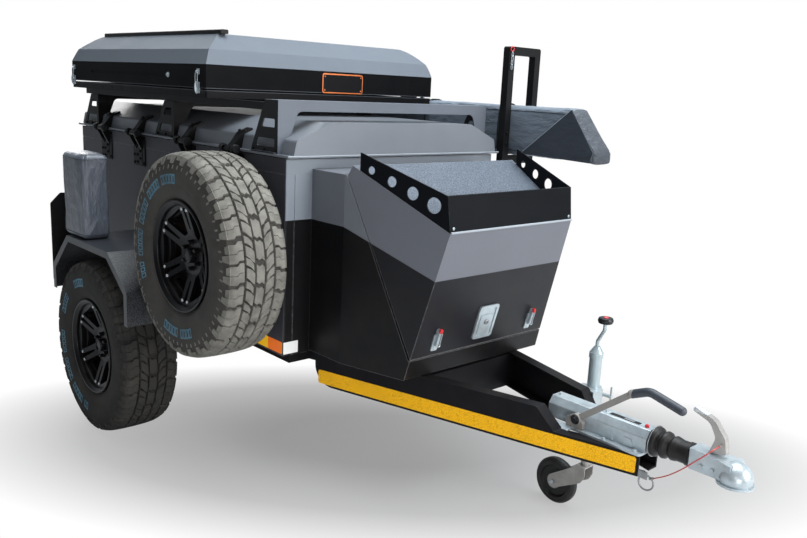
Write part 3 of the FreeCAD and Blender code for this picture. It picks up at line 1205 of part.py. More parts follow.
rail_solids = []
for name, side in SIDES.items():
    low, high = across(side, d.portal_half - d.tent_rail_width - 8, d.portal_half - 8)
    rail_solids.append(block(f"tent_rail_{name}", (-(d.tent_rear - 12), low, beam_high),
                             (d.front_portal_front - d.portal_head - 0.3, high, d.tent_low)))
node("tent_rails", rail_solids)

# Tent: base tray, and a shell with two flat bevels ahead and on the right, and one round behind and on the left
tray_high = d.tent_low + d.tent_base_height
tent_tray = prism("tent_tray", "XY", box_outline(
    (-d.tent_rear, -d.tent_half), (d.tent_front, d.tent_half), d.body_edge), d.tent_low, tray_high)
shell_low = tray_high + gap
bevel_high = d.tent_band_top + d.tent_bevel_height
roof_inset = d.tent_bevel_inset + d.tent_roof_inset
crown = d.tent_top - d.tent_band_top
skin = d.tent_skin


def tent_form(name, low, inward=None):
    """What the tent's outlines from the side and from the front share."""
    side = prism(f"{name}_side", "XZ", [
        (-d.tent_rear, low), (d.tent_front, low), (d.tent_front, d.tent_band_top),
        (d.tent_front - d.tent_bevel_inset, bevel_high), (d.tent_front - roof_inset, d.tent_top),
        (-d.tent_rear, d.tent_top, crown)], -(d.tent_half + 20), d.tent_half + 20, inward)
    front = prism(f"{name}_front", "YZ", [
        (-d.tent_half, low), (d.tent_half, low), (d.tent_half, d.tent_top, crown),
        (-(d.tent_half - roof_inset), d.tent_top), (-(d.tent_half - d.tent_bevel_inset), bevel_high),
        (-d.tent_half, d.tent_band_top)], -(d.tent_rear + 20), d.tent_front + 20, inward)
    return common(name, [side, front])


tent_outer = tent_form("tent_outer", shell_low)
tent_room = tent_form("tent_room", shell_low - skin * 2, skin)
strip_middle = (d.tent_band_top + shell_low) / 2
tent_strip = prism("tent_strip", "XZ", box_outline(
    (-d.tent_strip_rear, strip_middle - d.tent_strip_width / 2),
    (d.tent_strip_front, strip_middle + d.tent_strip_width / 2), 5), -(d.tent_half + 10), -(d.tent_half - 3))
tent_moving, tent_bores, tent_fixed = [], [], []
tent_axis = (d.tent_half + d.knuckle_radius + 2, tray_high + gap / 2)
for index, ahead in enumerate((-800, -257, 290)):
    fixed, moving, bore = hinge(f"tent_hinge_{index}", "X", (Size.of(ahead), tent_axis[0], tent_axis[1]),
                                Size.of(110), d.knuckle_radius, d.hinge_pin)
    leaf = block(f"tent_leaf_{index}", (Size.of(ahead - 22), d.tent_half - 1, tent_axis[1]),
                 (Size.of(ahead + 22), tent_axis[0], shell_low + 34))
    tent_moving += [moving, leaf]
    tent_bores.append(bore)
    for end in (-1, 1):
        near = ahead + 38.75 * end
        fixed.append(block(f"tent_foot_{index}_{end + 1}", (Size.of(near - 15), d.tent_half - 1, d.tent_low + 6),
                           (Size.of(near + 15), tent_axis[0], tent_axis[1])))
    tent_fixed += fixed
tent_solid = fuse("tent_shell_solid", [cut("tent_hollow", tent_outer, [tent_room, tent_strip])] + tent_moving)
node("tent_shell", [cut("tent_shell_whole", tent_solid, tent_bores)])
node("tent_base", [fuse("tent_base_whole", [tent_tray] + tent_fixed)])
bar_half = d.roof_bar_width / 2
bar_y = -(d.tent_half - roof_inset - bar_half + 2)
bar_high = d.tent_top + d.roof_bar_height
node("tent_roof_bar", [prism("roof_bar", "YZ", [
    (bar_y - bar_half, d.tent_top), (bar_y + bar_half, d.tent_top), (bar_y + bar_half, bar_high, 6),
    (bar_y - bar_half, bar_high, 6)], -(d.tent_rear - crown), d.tent_front - roof_inset + 30)])

# Awning bag, its hoop and its rear cradle
tube = d.hoop_tube / 2
frame_low, bend = d.bag_low - d.seat_gap - d.hoop_tube, d.hoop_bend
hoop_rear, hoop_front = d.hoop_ahead - tube, d.hoop_ahead + tube
hoop_outer = prism("hoop_outer", "YZ", box_outline(
    (d.hoop_inner - tube, frame_low), (d.hoop_outer + tube, d.hoop_high), bend), hoop_rear, hoop_front)
hoop_inner = prism("hoop_inner", "YZ", box_outline(
    (d.hoop_inner + tube, frame_low + d.hoop_tube), (d.hoop_outer - tube, d.hoop_high - d.hoop_tube), bend / 2),
    hoop_rear - 5, hoop_front + 5)
shoe_high, shoe_rear = d.hoop_low + d.hoop_shoe_height, hoop_rear - d.hoop_shoe_reach
hoop_parts = [
    cut("hoop_frame", hoop_outer, [hoop_inner]),
    block("hoop_post", (hoop_rear, d.hoop_inner - tube, d.hoop_low), (hoop_front, d.hoop_inner + tube, d.bag_low)),
    prism("hoop_shoe", "XZ", [
        (hoop_front, d.hoop_low, 6), (hoop_front, shoe_high, 6), (hoop_rear, shoe_high, 6),
        (shoe_rear, d.hoop_low + d.hoop_shoe_height * 0.6, 20), (shoe_rear, d.hoop_low, 20)],
        d.body_half, d.body_half + d.cradle_metal),
    block("hoop_spacer", (hoop_rear, d.body_half, d.hoop_low), (hoop_front, d.hoop_inner, shoe_high)),
]
node("awning_hoop", [fuse("hoop", hoop_parts)])

bar, cradle_rear = d.cradle_metal, -d.cradle_back
cradle_front, cradle_low = cradle_rear + d.cradle_width, d.bag_low - d.cradle_drop - bar
cradle_out, cradle_high = d.bag_outer + bar, d.bag_low + d.bag_height * 0.75
cradle_parts = [
    block("cradle_foot", (cradle_rear, d.body_half, d.body_high - d.cradle_foot_drop),
          (cradle_front, d.body_half + bar, d.body_high - d.cradle_drop)),
    block("cradle_pad", (cradle_rear, d.bag_inner, d.bag_low - d.cradle_drop),
          (cradle_front, d.bag_outer, d.bag_low - d.seat_gap)),
    prism("cradle_bar", "YZ", [
        (d.body_half, cradle_low), (cradle_out + bar, cradle_low, bar * 2), (cradle_out + bar, cradle_high),
        (cradle_out, cradle_high), (cradle_out, cradle_low + bar, bar), (d.body_half, cradle_low + bar)],
        cradle_rear, cradle_front),
]
node("awning_cradle", [fuse("cradle", cradle_parts)])

bag_section = box_outline((d.bag_inner, d.bag_low), (d.bag_outer, d.bag_high), d.bag_round)
bag_peak = d.bag_front - d.bag_peak_back
bag_side = [(-d.bag_rear, d.bag_low, 20), (d.bag_front - 10, d.bag_low, 20), (d.bag_front, d.bag_low + 50, 25),
            (bag_peak + d.bag_peak_back * 0.48, d.bag_high - 50, 40), (bag_peak, d.bag_high, 40),
            (-d.bag_rear, d.bag_high, 30)]
node("awning_bag", [common("bag", [
    prism("bag_run", "YZ", bag_section, -(d.bag_rear + 20), d.bag_front + 20),
    prism("bag_end", "XZ", bag_side, d.bag_inner - 20, d.bag_outer + 20)])])

# Cover bag that stands on the right fender
cover_low = d.fender_high + d.seat_gap
cover_side = [(-(d.cover_rear - 44), cover_low, 10), (d.cover_front, cover_low, 10),
              (d.cover_front, d.cover_high - 8, 36), (-(d.cover_rear - 8), d.cover_high - 2, 36),
              (-d.cover_rear, cover_low + 120, 200)]
node("cover_bag", [common("cover", [
    prism("cover_run", "XZ", cover_side, -(d.cover_outer + 20), -(d.cover_inner - 20)),
    prism("cover_plan", "XY", box_outline((-d.cover_rear, -d.cover_outer), (d.cover_front, -d.cover_inner), 34),
          cover_low - 20, d.cover_high + 20)])])

# Overrun coupling
plate_low = d.rail_nose_high
plate_high = plate_low + d.base_plate_metal
house_half = d.coupling_half
house_section = [(-house_half, plate_high - 1), (house_half, plate_high - 1), (house_half, d.coupling_high - 26, 10),
                 (house_half - 20, d.coupling_high, 8), (-(house_half - 20), d.coupling_high, 8),
                 (-house_half, d.coupling_high - 26, 10)]
housing_parts = [
    prism("coupling_base", "XY", box_outline(
        (d.coupling_rear + 105, -d.base_plate_half), (d.coupling_front - 4, d.base_plate_half), 12),
        plate_low, plate_high),
    prism("coupling_hat", "YZ", house_section, d.coupling_rear, d.coupling_front),
]
for index, ahead in enumerate((d.coupling_front - 150, d.coupling_front - 70)):
    housing_parts.append(prism(f"coupling_rib_{index}", "XZ", [
        (ahead - 26, plate_high + 2), (ahead + 26, plate_high + 2), (ahead + 16, plate_high + 30, 10),
        (ahead - 16, plate_high + 30, 10)], -(house_half + 3), house_half + 3))
bore = rod("drawshaft_bore", "X", (d.coupling_front - 120, Size.of(0), d.drawshaft_high),
           d.drawshaft_radius + d.seat_gap, Size.of(140))
node("coupling_housing", [cut("coupling_house", fuse("coupling_welded", housing_parts), [bore])])

BELLOWS_FOLDS = 3
bellows_long = d.bellows_front - d.coupling_front - d.seat_gap
fold_pitch = bellows_long * 0.7 / BELLOWS_FOLDS
shaft_side, collar = d.drawshaft_radius + 0.4, d.bellows_root + 4
bellows_outline = [(shaft_side, Size.of(0)), (d.bellows_radius - 9, Size.of(0))]
for fold in range(BELLOWS_FOLDS):
    start, peak = fold_pitch * fold, d.bellows_radius - 5 * fold
    root = d.bellows_root if fold < BELLOWS_FOLDS - 1 else collar
    bellows_outline += [(peak, start + fold_pitch * 0.32, 6), (peak - 2, start + fold_pitch * 0.64, 6),
                        (root, start + fold_pitch, 3)]
bellows_outline += [(collar, bellows_long - 16), (collar + 3, bellows_long - 15), (collar + 3, bellows_long - 5),
                    (collar, bellows_long - 4), (collar, bellows_long), (shaft_side, bellows_long)]
node("coupling_bellows", [turned_solid("bellows", bellows_outline,
                                       (d.coupling_front + d.seat_gap, Size.of(0), d.drawshaft_high), TO_AXIS["X"])])

socket = d.ball_radius + d.socket_wall
head_low = d.ball_high - d.socket_skirt
neck_rear, neck_half = d.bellows_front + 0.5, d.drawshaft_radius + 8
neck_side = prism("head_neck_side", "XZ", [
    (neck_rear, d.drawshaft_high - 34, 8), (d.ball_ahead, d.ball_high - 14), (d.ball_ahead, d.ball_high + 46),
    (neck_rear, d.drawshaft_high + 36)], -socket, socket)
flare = d.ball_ahead - socket
neck_plan = prism("head_neck_plan", "XY", [
    (neck_rear, -neck_half), (flare, -neck_half, 60), (d.ball_ahead, -(socket - 8)),
    (d.ball_ahead, socket - 8), (flare, neck_half, 60), (neck_rear, neck_half)], head_low, d.coupling_high + 40)
head_parts = [
    rod("drawshaft", "X", (d.coupling_front - 100, Size.of(0), d.drawshaft_high), d.drawshaft_radius,
        d.bellows_front + 20 - d.coupling_front + 100),
    common("head_neck", [neck_side, neck_plan]),
    rod("head_skirt", "Z", (d.ball_ahead, Size.of(0), head_low), socket - 6, d.socket_skirt + 4),
    ball("head_dome", (d.ball_ahead, Size.of(0), d.ball_high), socket - 3),
    rod("head_lip", "Z", (d.ball_ahead, Size.of(0), head_low), socket + 2, Size.of(6)),
]
head_cutters = [
    ball("ball_room", (d.ball_ahead, Size.of(0), d.ball_high), d.ball_radius),
    rod("ball_throat", "Z", (d.ball_ahead, Size.of(0), head_low - 60), d.ball_radius, d.socket_skirt + 60),
    block("head_under", (d.ball_ahead - 120, Size.of(-100), head_low - 100),
          (d.ball_ahead + 120, Size.of(100), head_low)),
]
node("coupling_head", [cut("head", fuse("head_cast", head_parts), head_cutters)])

handle_half = d.handle_width / 2
neck_rise = (d.drawshaft_high + 36 - d.ball_high - 46) / (d.ball_ahead - neck_rear)
handle_points = [(d.ball_ahead - 92, d.ball_high + 46 + neck_rise * 92 + d.seat_gap * 2),
                 (d.ball_ahead - 34, d.ball_high + 62, 6), (d.ball_ahead - 44, d.ball_high + 112, 40),
                 (d.ball_ahead - 84, d.ball_high + 162, 50), (d.ball_ahead - 156, d.ball_high + 186, 4),
                 (d.ball_ahead - 160, d.ball_high + 172, 4), (d.ball_ahead - 98, d.ball_high + 150, 40),
                 (d.ball_ahead - 74, d.ball_high + 106, 30)]
cable_start = (Size.of(2535), -(handle_half + 8), Size.of(585))
node("coupling_handle", [fuse("handle_whole", [
    prism("handle", "XZ", handle_points, -handle_half, handle_half),
    rod("handle_cable_boss", "Y", cable_start, d.cable_radius * 2, Size.of(12))])])

# Handbrake lever
lever_y = -(house_half + d.lever_out)
pivot = (d.lever_pivot_ahead, plate_high + 34)
elbow = (d.lever_pivot_ahead + 204, plate_high + 191)
grip_bend = (elbow[0] + 64, elbow[1] + 28)
grip_end = (elbow[0] + 182, elbow[1])
lever_half = d.lever_metal / 2
grip = d.lever_grip_radius
lever_parts = [
    rod("lever_pivot", "Y", (pivot[0], lever_y - 14, pivot[1]), Size.of(20), d.lever_out + 14 - 3 - d.seat_gap),
    prism("lever_bracket", "XZ", [
        (pivot[0] - 40, plate_high, 4), (pivot[0] + 30, plate_high, 4), (pivot[0] + 30, pivot[1] - 6, 10),
        (pivot[0] - 10, pivot[1] + 16, 10), (pivot[0] - 40, pivot[1], 12)], lever_y - 10, lever_y + 8),
    prism("lever_arm", "XZ", strip(pivot, elbow, d.lever_width / 2), lever_y - lever_half, lever_y + lever_half),
    bent_bar("lever_grip", "XZ", lever_y, [elbow, (grip_bend[0], grip_bend[1], 50), grip_end], grip),
    ball("lever_elbow", (elbow[0], lever_y, elbow[1]), grip),
    ball("lever_tip", (grip_end[0], lever_y, grip_end[1]), grip),
]
node("handbrake_lever", [fuse("lever", lever_parts)])

# Jockey stand: clamp on the left rail, sliding tube, swivelling fork and wheel
jockey_x, jockey_y = d.jockey_ahead, d.jockey_out
tube_radius = d.jockey_tube_radius
clamp_radius = tube_radius + d.clamp_wall
clamp_low = d.rail_high - 10 - d.clamp_height
clamp_parts = [
    rod("clamp_ring", "Z", (jockey_x, jockey_y, clamp_low), clamp_radius, d.clamp_height),
    block("clamp_foot", (jockey_x - 45, rail_half(jockey_x + 45) + 0.3, clamp_low),
          (jockey_x + 45, jockey_y, clamp_low + d.clamp_height)),
    rod("clamp_screw", "X", (jockey_x, jockey_y + tube_radius + 2, clamp_low + 40), Size.of(7), Size.of(70)),
    rod("clamp_tommy_bar", "Z", (jockey_x + 66, jockey_y + tube_radius + 2, clamp_low + 10), Size.of(4), Size.of(70)),
]
foot_cut = prism("clamp_foot_cut", "XY", [
    (jockey_x - 60, rail_half(jockey_x - 60) - 90), (jockey_x + 60, rail_half(jockey_x + 60) - 90),
    (jockey_x + 60, rail_half(jockey_x + 60) + 0.3), (jockey_x - 60, rail_half(jockey_x - 60) + 0.3)],
    clamp_low - 5, clamp_low + d.clamp_height + 5)
clamp_bore = rod("clamp_bore", "Z", (jockey_x, jockey_y, clamp_low - 5), tube_radius + d.running_gap,
                 d.clamp_height + 10)
node("jockey_clamp", [cut("clamp", fuse("clamp_welded", clamp_parts), [foot_cut, clamp_bore])])

nothing, collar_high, crank_out = Size.of(0), Size.of(45), d.crank_reach
crank_low = d.jockey_tube_high + collar_high - 5
crank_high = crank_low + 102
tube_parts = [
    rod("jockey_outer_tube", "Z", (jockey_x, jockey_y, d.jockey_tube_low), tube_radius,
        d.jockey_tube_high - d.jockey_tube_low),
    turned_solid("jockey_cap", [(nothing, nothing), (tube_radius + 3, nothing), (tube_radius + 3, Size.of(20)),
                                (tube_radius * 0.45, collar_high), (nothing, collar_high)],
                 (jockey_x, jockey_y, d.jockey_tube_high)),
    bent_bar("crank", "XZ", jockey_y, [
        (jockey_x, crank_low), (jockey_x, crank_low + 26, 14), (jockey_x + crank_out, crank_low + 74, 14),
        (jockey_x + crank_out, crank_high)], Size.of(7)),
    turned_solid("crank_knob", [(nothing, nothing), (26, nothing, 4), (d.crank_knob_radius, Size.of(11), 8),
                                (26, Size.of(22), 4), (nothing, Size.of(22))],
                 (jockey_x + crank_out, jockey_y, crank_high)),
]
node("jockey_tube", [fuse("jockey_stand", tube_parts)])

wheel_x = jockey_x - d.jockey_trail
wheel_z = d.jockey_wheel_radius
wheel_half = d.jockey_wheel_width / 2
fork_half = wheel_half + 4
fork_parts = [rod("fork_stem", "Z", (jockey_x, jockey_y, d.jockey_wheel_radius * 2 + 14), Size.of(17),
                  d.jockey_tube_low - 0.5 - d.jockey_wheel_radius * 2 - 14)]
crown_high = d.jockey_wheel_radius * 2 + 22
fork_parts.append(block("fork_crown", (jockey_x - 22, jockey_y - fork_half - 4, crown_high - 8),
                        (jockey_x + 20, jockey_y + fork_half + 4, crown_high)))
for name, side in SIDES.items():
    low, high = (jockey_y + fork_half * side, jockey_y + (fork_half + 4) * side)
    if side < 0:
        low, high = high, low
    fork_parts.append(prism(f"fork_cheek_{name}", "XZ", [
        (wheel_x - 22, wheel_z - 22, 20), (wheel_x + 12, wheel_z - 22, 16), (jockey_x + 6, crown_high - 70, 30),
        (jockey_x + 20, crown_high - 40, 16), (jockey_x + 20, crown_high), (jockey_x - 22, crown_high),
        (jockey_x - 48, crown_high - 26, 24), (wheel_x - 22, wheel_z + 22, 20)], low, high))
fork_parts.append(rod("jockey_axle", "Y", (wheel_x, jockey_y - fork_half - 8, wheel_z), d.jockey_axle_radius,
                      fork_half * 2 + 16))
node("jockey_fork", [fuse("fork", fork_parts)])
web_half = wheel_half - 12
wheel_outline = [
    (d.jockey_axle_radius + d.running_gap, -(wheel_half - 2)), (26, -(wheel_half - 2), 3), (30, -web_half),
    (d.jockey_wheel_radius - 34, -web_half, 4), (d.jockey_wheel_radius - 28, -wheel_half, 4),
    (d.jockey_wheel_radius - 10, -wheel_half, 6), (d.jockey_wheel_radius, -web_half, 12)]
wheel_outline += [(spot[0], -Size.of(spot[1])) + tuple(spot[2:]) for spot in reversed(wheel_outline)]
node("jockey_wheel", [turned_solid("castor", wheel_outline, (wheel_x, jockey_y, wheel_z), TO_AXIS["Y"])])

# Breakaway cable from the coupling handle to a ring at the drawbar's nose
CABLE_ROUTE = ((2535, -20, 585), (2535, -44, 585), (2524, -66, 570), (2496, -78, 540), (2458, -84, 498),
               (2418, -82, 462), (2381, -72, 434), (2350, -58, 414))


def cable_path(points):
    """A wire of straight runs joined by tangent arcs, each as large as its two runs allow."""
    edges, last = [], points[0]
    for before, here, after in zip(points, points[1:], points[2:]):
        back, ahead = (before - here), (after - here)
        shorter = min(back.Length, ahead.Length)
        turn = pi - back.getAngle(ahead)
        print(f"cable bend radius {0.45 * shorter / tan(turn / 2):.1f} mm")
        start = here + back.normalize() * shorter * 0.45
        end = here + ahead.normalize() * shorter * 0.45
        bisector = (back + ahead).normalize()
        radius = 0.45 * shorter / tan(turn / 2)
        centre = here + bisector * (radius / cos(turn / 2))
        edges.append(Part.LineSegment(last, start).toShape())
        edges.append(Part.Arc(start, centre - bisector * radius, end).toShape())
        last = end
    edges.append(Part.LineSegment(last, points[-1]).toShape())
    return Part.Wire(edges)


spots = [Vector(*spot) for spot in CABLE_ROUTE]
route = cable_path(spots)
section = Part.Wire(Part.makeCircle(d.cable_radius.number, spots[0], spots[1] - spots[0]))
cable = doc.addObject("Part::Feature", "cable")
cable.Shape = route.makePipeShell([section], True, False)
node("breakaway_cable", [cable])
whole = pi * d.cable_radius.number ** 2 * route.Length
print(f"cable length {route.Length:.1f} mm, volume {cable.Shape.Volume:.0f} of {whole:.0f} mm3")

tail = spots[-1] + (spots[-1] - spots[-2]) * 0.62
ring = doc.addObject("Part::Torus", "ring")
ring.Placement = Placement(Vector(), Rotation(Vector(1, 0.1, 0), 90))
bind(ring, Radius1=Size.of(26), Radius2=Size.of(3))
place(ring, (d.rail_front + 30, -(d.rail_front_half - 8), d.rail_low - 12))
lug = block("ring_lug", (d.rail_front, -(d.rail_front_half - 2), d.rail_low),
            (d.rail_front + 34, -(d.rail_front_half - 6), d.rail_low + 26))
ferrule = rod_between("ring_ferrule", (tail.x, tail.y, tail.z), CABLE_ROUTE[-1], d.cable_radius * 2)
node("cable_ring", [fuse("ring_and_lug", [ring, lug, ferrule])])

doc.recompute()

failed = [thing.Name for thing in doc.Objects if "Invalid" in thing.State or "Error" in thing.State]
for label, piece in NODES.items():
    if piece.Shape.isNull() or not piece.Shape.isValid() or not piece.Shape.Solids:
        failed.append(label)
if failed:
    raise RuntimeError("failed: " + ", ".join(failed))

os.makedirs("parts", exist_ok=True)
for label, piece in NODES.items():
    piece.Shape.exportStep(f"parts/{label}.step")
    box = piece.Shape.BoundBox
    print(f"{label:20s} solids {len(piece.Shape.Solids):2d} volume {piece.Shape.Volume / 1e6:9.3f} l"
          f"  x {box.XMin:8.1f} {box.XMax:8.1f}  y {box.YMin:8.1f} {box.YMax:8.1f}  z {box.ZMin:8.1f} {box.ZMax:8.1f}")
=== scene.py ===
"""Looks of an off-road camping trailer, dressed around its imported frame.

Every length is in metres, in the frame's own axes: +X forward to the hitch, +Y to the
trailer's left and +Z up, with the ground at zero. AXLE_X is the place of the axle along X.
"""
from __future__ import annotations

import logging
import math
from dataclasses import dataclass, field
from enum import Enum
from typing import Iterable, Sequence

import bmesh
import bpy
from mathutils import Matrix, Vector, noise
from mathutils.bvhtree import BVHTree


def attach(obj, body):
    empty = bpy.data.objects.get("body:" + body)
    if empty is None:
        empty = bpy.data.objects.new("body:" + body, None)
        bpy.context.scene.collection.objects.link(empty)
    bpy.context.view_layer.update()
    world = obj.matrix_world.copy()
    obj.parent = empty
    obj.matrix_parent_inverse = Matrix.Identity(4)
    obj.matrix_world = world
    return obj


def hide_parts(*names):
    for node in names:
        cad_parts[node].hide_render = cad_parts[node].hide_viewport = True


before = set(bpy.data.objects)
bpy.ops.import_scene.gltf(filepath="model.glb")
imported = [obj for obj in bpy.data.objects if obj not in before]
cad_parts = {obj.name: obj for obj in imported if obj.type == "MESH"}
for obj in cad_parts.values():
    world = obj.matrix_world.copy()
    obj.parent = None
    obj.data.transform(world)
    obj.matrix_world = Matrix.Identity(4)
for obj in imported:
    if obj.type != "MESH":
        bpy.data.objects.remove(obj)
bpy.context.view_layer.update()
LOG = logging.getLogger("trailer")

Colour = tuple[float, float, float]
Point = tuple[float, float, float]
Flat = tuple[float, float]
Line = tuple[Flat, ...]
Piece = bpy.types.Object

Socket = bpy.types.NodeSocket
Sockets = dict[str, Socket]

MM = 0.001
AXLE_X = -0.79765
FULL_TURN = 2 * math.pi
EDGE_WIDTH = 0.0012
SHARP_ANGLE = 32.0
AHEAD, BACK = Vector((1, 0, 0)), Vector((-1, 0, 0))
LEFT, RIGHT = Vector((0, 1, 0)), Vector((0, -1, 0))
UP, DOWN = Vector((0, 0, 1)), Vector((0, 0, -1))


def at_axle(ahead: float, left: float, up: float) -> Vector:
    """A point given in millimetres about the axle, in the frame's metres."""
    return Vector((ahead * MM + AXLE_X, left * MM, up * MM))


def turns(count: int) -> list[float]:
    """Angles in equal steps round a full turn."""
    return [FULL_TURN * step / count for step in range(count)]


class Side(Enum):
    """A side of the trailer, as the sign of its Y."""

    RIGHT = -1
    LEFT = 1

    @property
    def out(self) -> Vector:
        """The way that the side looks."""
        return Vector((0, self.value, 0))

    @property
    def inward(self) -> Vector:
        """The way from the side to the middle."""
        return Vector((0, -self.value, 0))

    @property
    def word(self) -> str:
        """The side's word in names."""
        return self.name.lower()


# Shader building


class Graph:
    """A short way to add shader nodes to a tree and to join them."""

    def __init__(self, tree: bpy.types.NodeTree) -> None:
        """Work on a node tree."""
        self.tree = tree

    def add(self, kind: str, **settings: object) -> bpy.types.Node:
        """Add a node.

        Args:
            kind: The node's type name, without its ShaderNode prefix.
            settings: Properties of the node and their values.

        Returns:
            The new node.
        """
        node = self.tree.nodes.new(kind if kind.startswith("Node") else "ShaderNode" + kind)
        for name, value in settings.items():
            setattr(node, name, value)
        return node

    def put(self, socket: Socket, value: object) -> None:
        """Join a socket to an input, or set the input to a plain value.

        Args:
            socket: The input.
            value: An output socket, a number or a colour.
        """
        if isinstance(value, Socket):
            self.tree.links.new(value, socket)
        elif isinstance(value, tuple) and len(value) == 3 and socket.type == "RGBA":
            socket.default_value = (*value, 1.0)
        else:
            socket.default_value = value

    def math(self, operation: str, *values: object, clamp: bool = False) -> Socket:
        """The result of a maths node.

        Args:
            operation: The node's operation.
            values: Up to three sockets or numbers.
            clamp: Whether the result is held from 0 to 1.

        Returns:
            The result's socket.
        """
        node = self.add("Math", operation=operation, use_clamp=clamp)
        for socket, value in zip(node.inputs, values):
            self.put(socket, value)
        return node.outputs[0]

    def times(self, first: object, second: object, clamp: bool = False) -> Socket:
        """The product of two values."""
        return self.math("MULTIPLY", first, second, clamp=clamp)

    def plus(self, first: object, second: object, clamp: bool = False) -> Socket:
        """The sum of two values."""
        return self.math("ADD", first, second, clamp=clamp)

    def above(self, value: object, limit: object) -> Socket:
        """One where a value is above a limit, and nothing elsewhere."""
        return self.math("GREATER_THAN", value, limit)

    def mix(self, share: object, first: object, second: object, blend: str = "MIX") -> Socket:
        """A colour between two colours.

        Args:
            share: The second colour's share.
            first: The colour at a share of 0.
            second: The colour at a share of 1.
            blend: How the two are blended.

        Returns:
            The blended colour's socket.
        """
        node = self.add("Mix", data_type="RGBA", blend_type=blend)
        self.put(node.inputs[0], share)
        self.put(node.inputs[6], first)
        self.put(node.inputs[7], second)
        return node.outputs[2]

    def span(self, value: object, low: object, high: object, to_low: object = 0.0,
             to_high: object = 1.0) -> Socket:
        """A value mapped from one range to another, and held inside it.

        Args:
            value: The value.
            low: Where the first range starts.
            high: Where it ends.
            to_low: Where the second range starts.
            to_high: Where it ends.

        Returns:
            The mapped value's socket.
        """
        node = self.add("MapRange")
        for socket, part in zip(node.inputs, (value, low, high, to_low, to_high)):
            self.put(socket, part)
        return node.outputs[0]

    def place(self) -> Socket:
        """The surface point in the frame's axes."""
        return self.add("TexCoord").outputs["Object"]

    def along(self, axis: int) -> Socket:
        """The surface point's place along one of the frame's axes."""
        return self.axes(self.place())[axis]

    def facing(self) -> list[Socket]:
        """The three parts of the surface normal in the frame's axes."""
        return self.axes(self.add("TexCoord").outputs["Normal"])

    def sideways(self) -> Socket:
        """One on the faces that look to the left or right, and nothing elsewhere."""
        return self.above(self.math("ABSOLUTE", self.facing()[1]), 0.7)

    def axes(self, vector: Socket) -> list[Socket]:
        """The three parts of a vector.

        Args:
            vector: The vector's socket.

        Returns:
            The sockets of its X, Y and Z.
        """
        node = self.add("SeparateXYZ")
        self.put(node.inputs[0], vector)
        return list(node.outputs)

    def noise(self, vector: object, scale: object, detail: float, rough: float) -> Socket:
        """Soft noise from 0 to 1.

        Args:
            vector: The point that it is read at.
            scale: Its scale, larger for finer noise.
            detail: How many finer layers it has.
            rough: How strong the finer layers are.

        Returns:
            The noise's socket.
        """
        node = self.add("TexNoise")
        self.put(node.inputs["Vector"], vector)
        self.put(node.inputs["Scale"], scale)
        node.inputs["Detail"].default_value = detail
        node.inputs["Roughness"].default_value = rough
        return node.outputs["Fac"]

    def group(self, made: "Effect", output: str, **values: object) -> Socket:
        """Place a shared effect.

        Args:
            made: The effect.
            output: The output that is wanted.
            values: The effect's inputs and their values.

        Returns:
            The output's socket.
        """
        node = self.add("Group", node_tree=made.tree())
        for name, value in values.items():
            self.put(node.inputs[name.title()], value)
        return node.outputs[output]


class Effect(Enum):
    """Shared effects, each a node group that is built once."""

    CLOUD = "colour cloud"
    WEAR = "edge wear"
    DUST = "road dust"
    GRAIN = "fine grain"
    WEAVE = "woven cloth"
    HAMMER = "hammered paint"
    CREASE = "creased cloth"

    def tree(self) -> bpy.types.NodeTree:
        """Build the effect's node group when it is first asked for.

        Returns:
            The node group.
        """
        if self.value not in bpy.data.node_groups:
            EFFECT_BUILDERS[self]()
        return bpy.data.node_groups[self.value]


def new_group(name: str, inputs: dict[str, float], outputs: Iterable[str]) -> tuple[Graph, Sockets, Sockets]:
    """An empty node group with float inputs and outputs.

    Args:
        name: The group's name.
        inputs: Input names and their usual values.
        outputs: Output names.

    Returns:
        The graph to build in, its input sockets and its output sockets, by name.
    """
    tree = bpy.data.node_groups.new(name, "ShaderNodeTree")
    for label, value in inputs.items():
        socket = tree.interface.new_socket(label, in_out="INPUT", socket_type="NodeSocketFloat")
        socket.default_value = value
    for label in outputs:
        tree.interface.new_socket(label, in_out="OUTPUT", socket_type="NodeSocketFloat")
    graph = Graph(tree)
    start, end = graph.add("NodeGroupInput"), graph.add("NodeGroupOutput")
    return graph, {s.name: s for s in start.outputs if s.name}, {s.name: s for s in end.inputs if s.name}


def build_cloud() -> None:
    """Slow variation over a surface, from 0 to 1."""
    graph, given, out = new_group(Effect.CLOUD.value, {"Scale": 4.0, "Contrast": 1.0}, ["Value"])
    wide = graph.noise(graph.place(), given["Scale"], 4.0, 0.6)
    away = graph.math("SUBTRACT", wide, 0.5)
    graph.put(out["Value"], graph.plus(graph.times(away, given["Contrast"]), 0.5, clamp=True))


def build_wear() -> None:
    """A mask of rubbed edges, broken up by noise."""
    graph, given, out = new_group(Effect.WEAR.value, {"Width": 0.003, "Scale": 60.0, "Amount": 0.5}, ["Mask"])
    bevel = graph.add("Bevel", samples=4)
    graph.put(bevel.inputs["Radius"], given["Width"])
    plain = graph.add("NewGeometry")
    dot = graph.add("VectorMath", operation="DOT_PRODUCT")
    graph.put(dot.inputs[0], bevel.outputs[0])
    graph.put(dot.inputs[1], plain.outputs["Normal"])
    edge = graph.span(dot.outputs["Value"], 0.995, 0.86)
    patch = graph.noise(graph.place(), given["Scale"], 5.0, 0.7)
    broken = graph.span(patch, graph.math("SUBTRACT", 0.85, given["Amount"]), 0.8)
    graph.put(out["Mask"], graph.times(edge, broken, clamp=True))


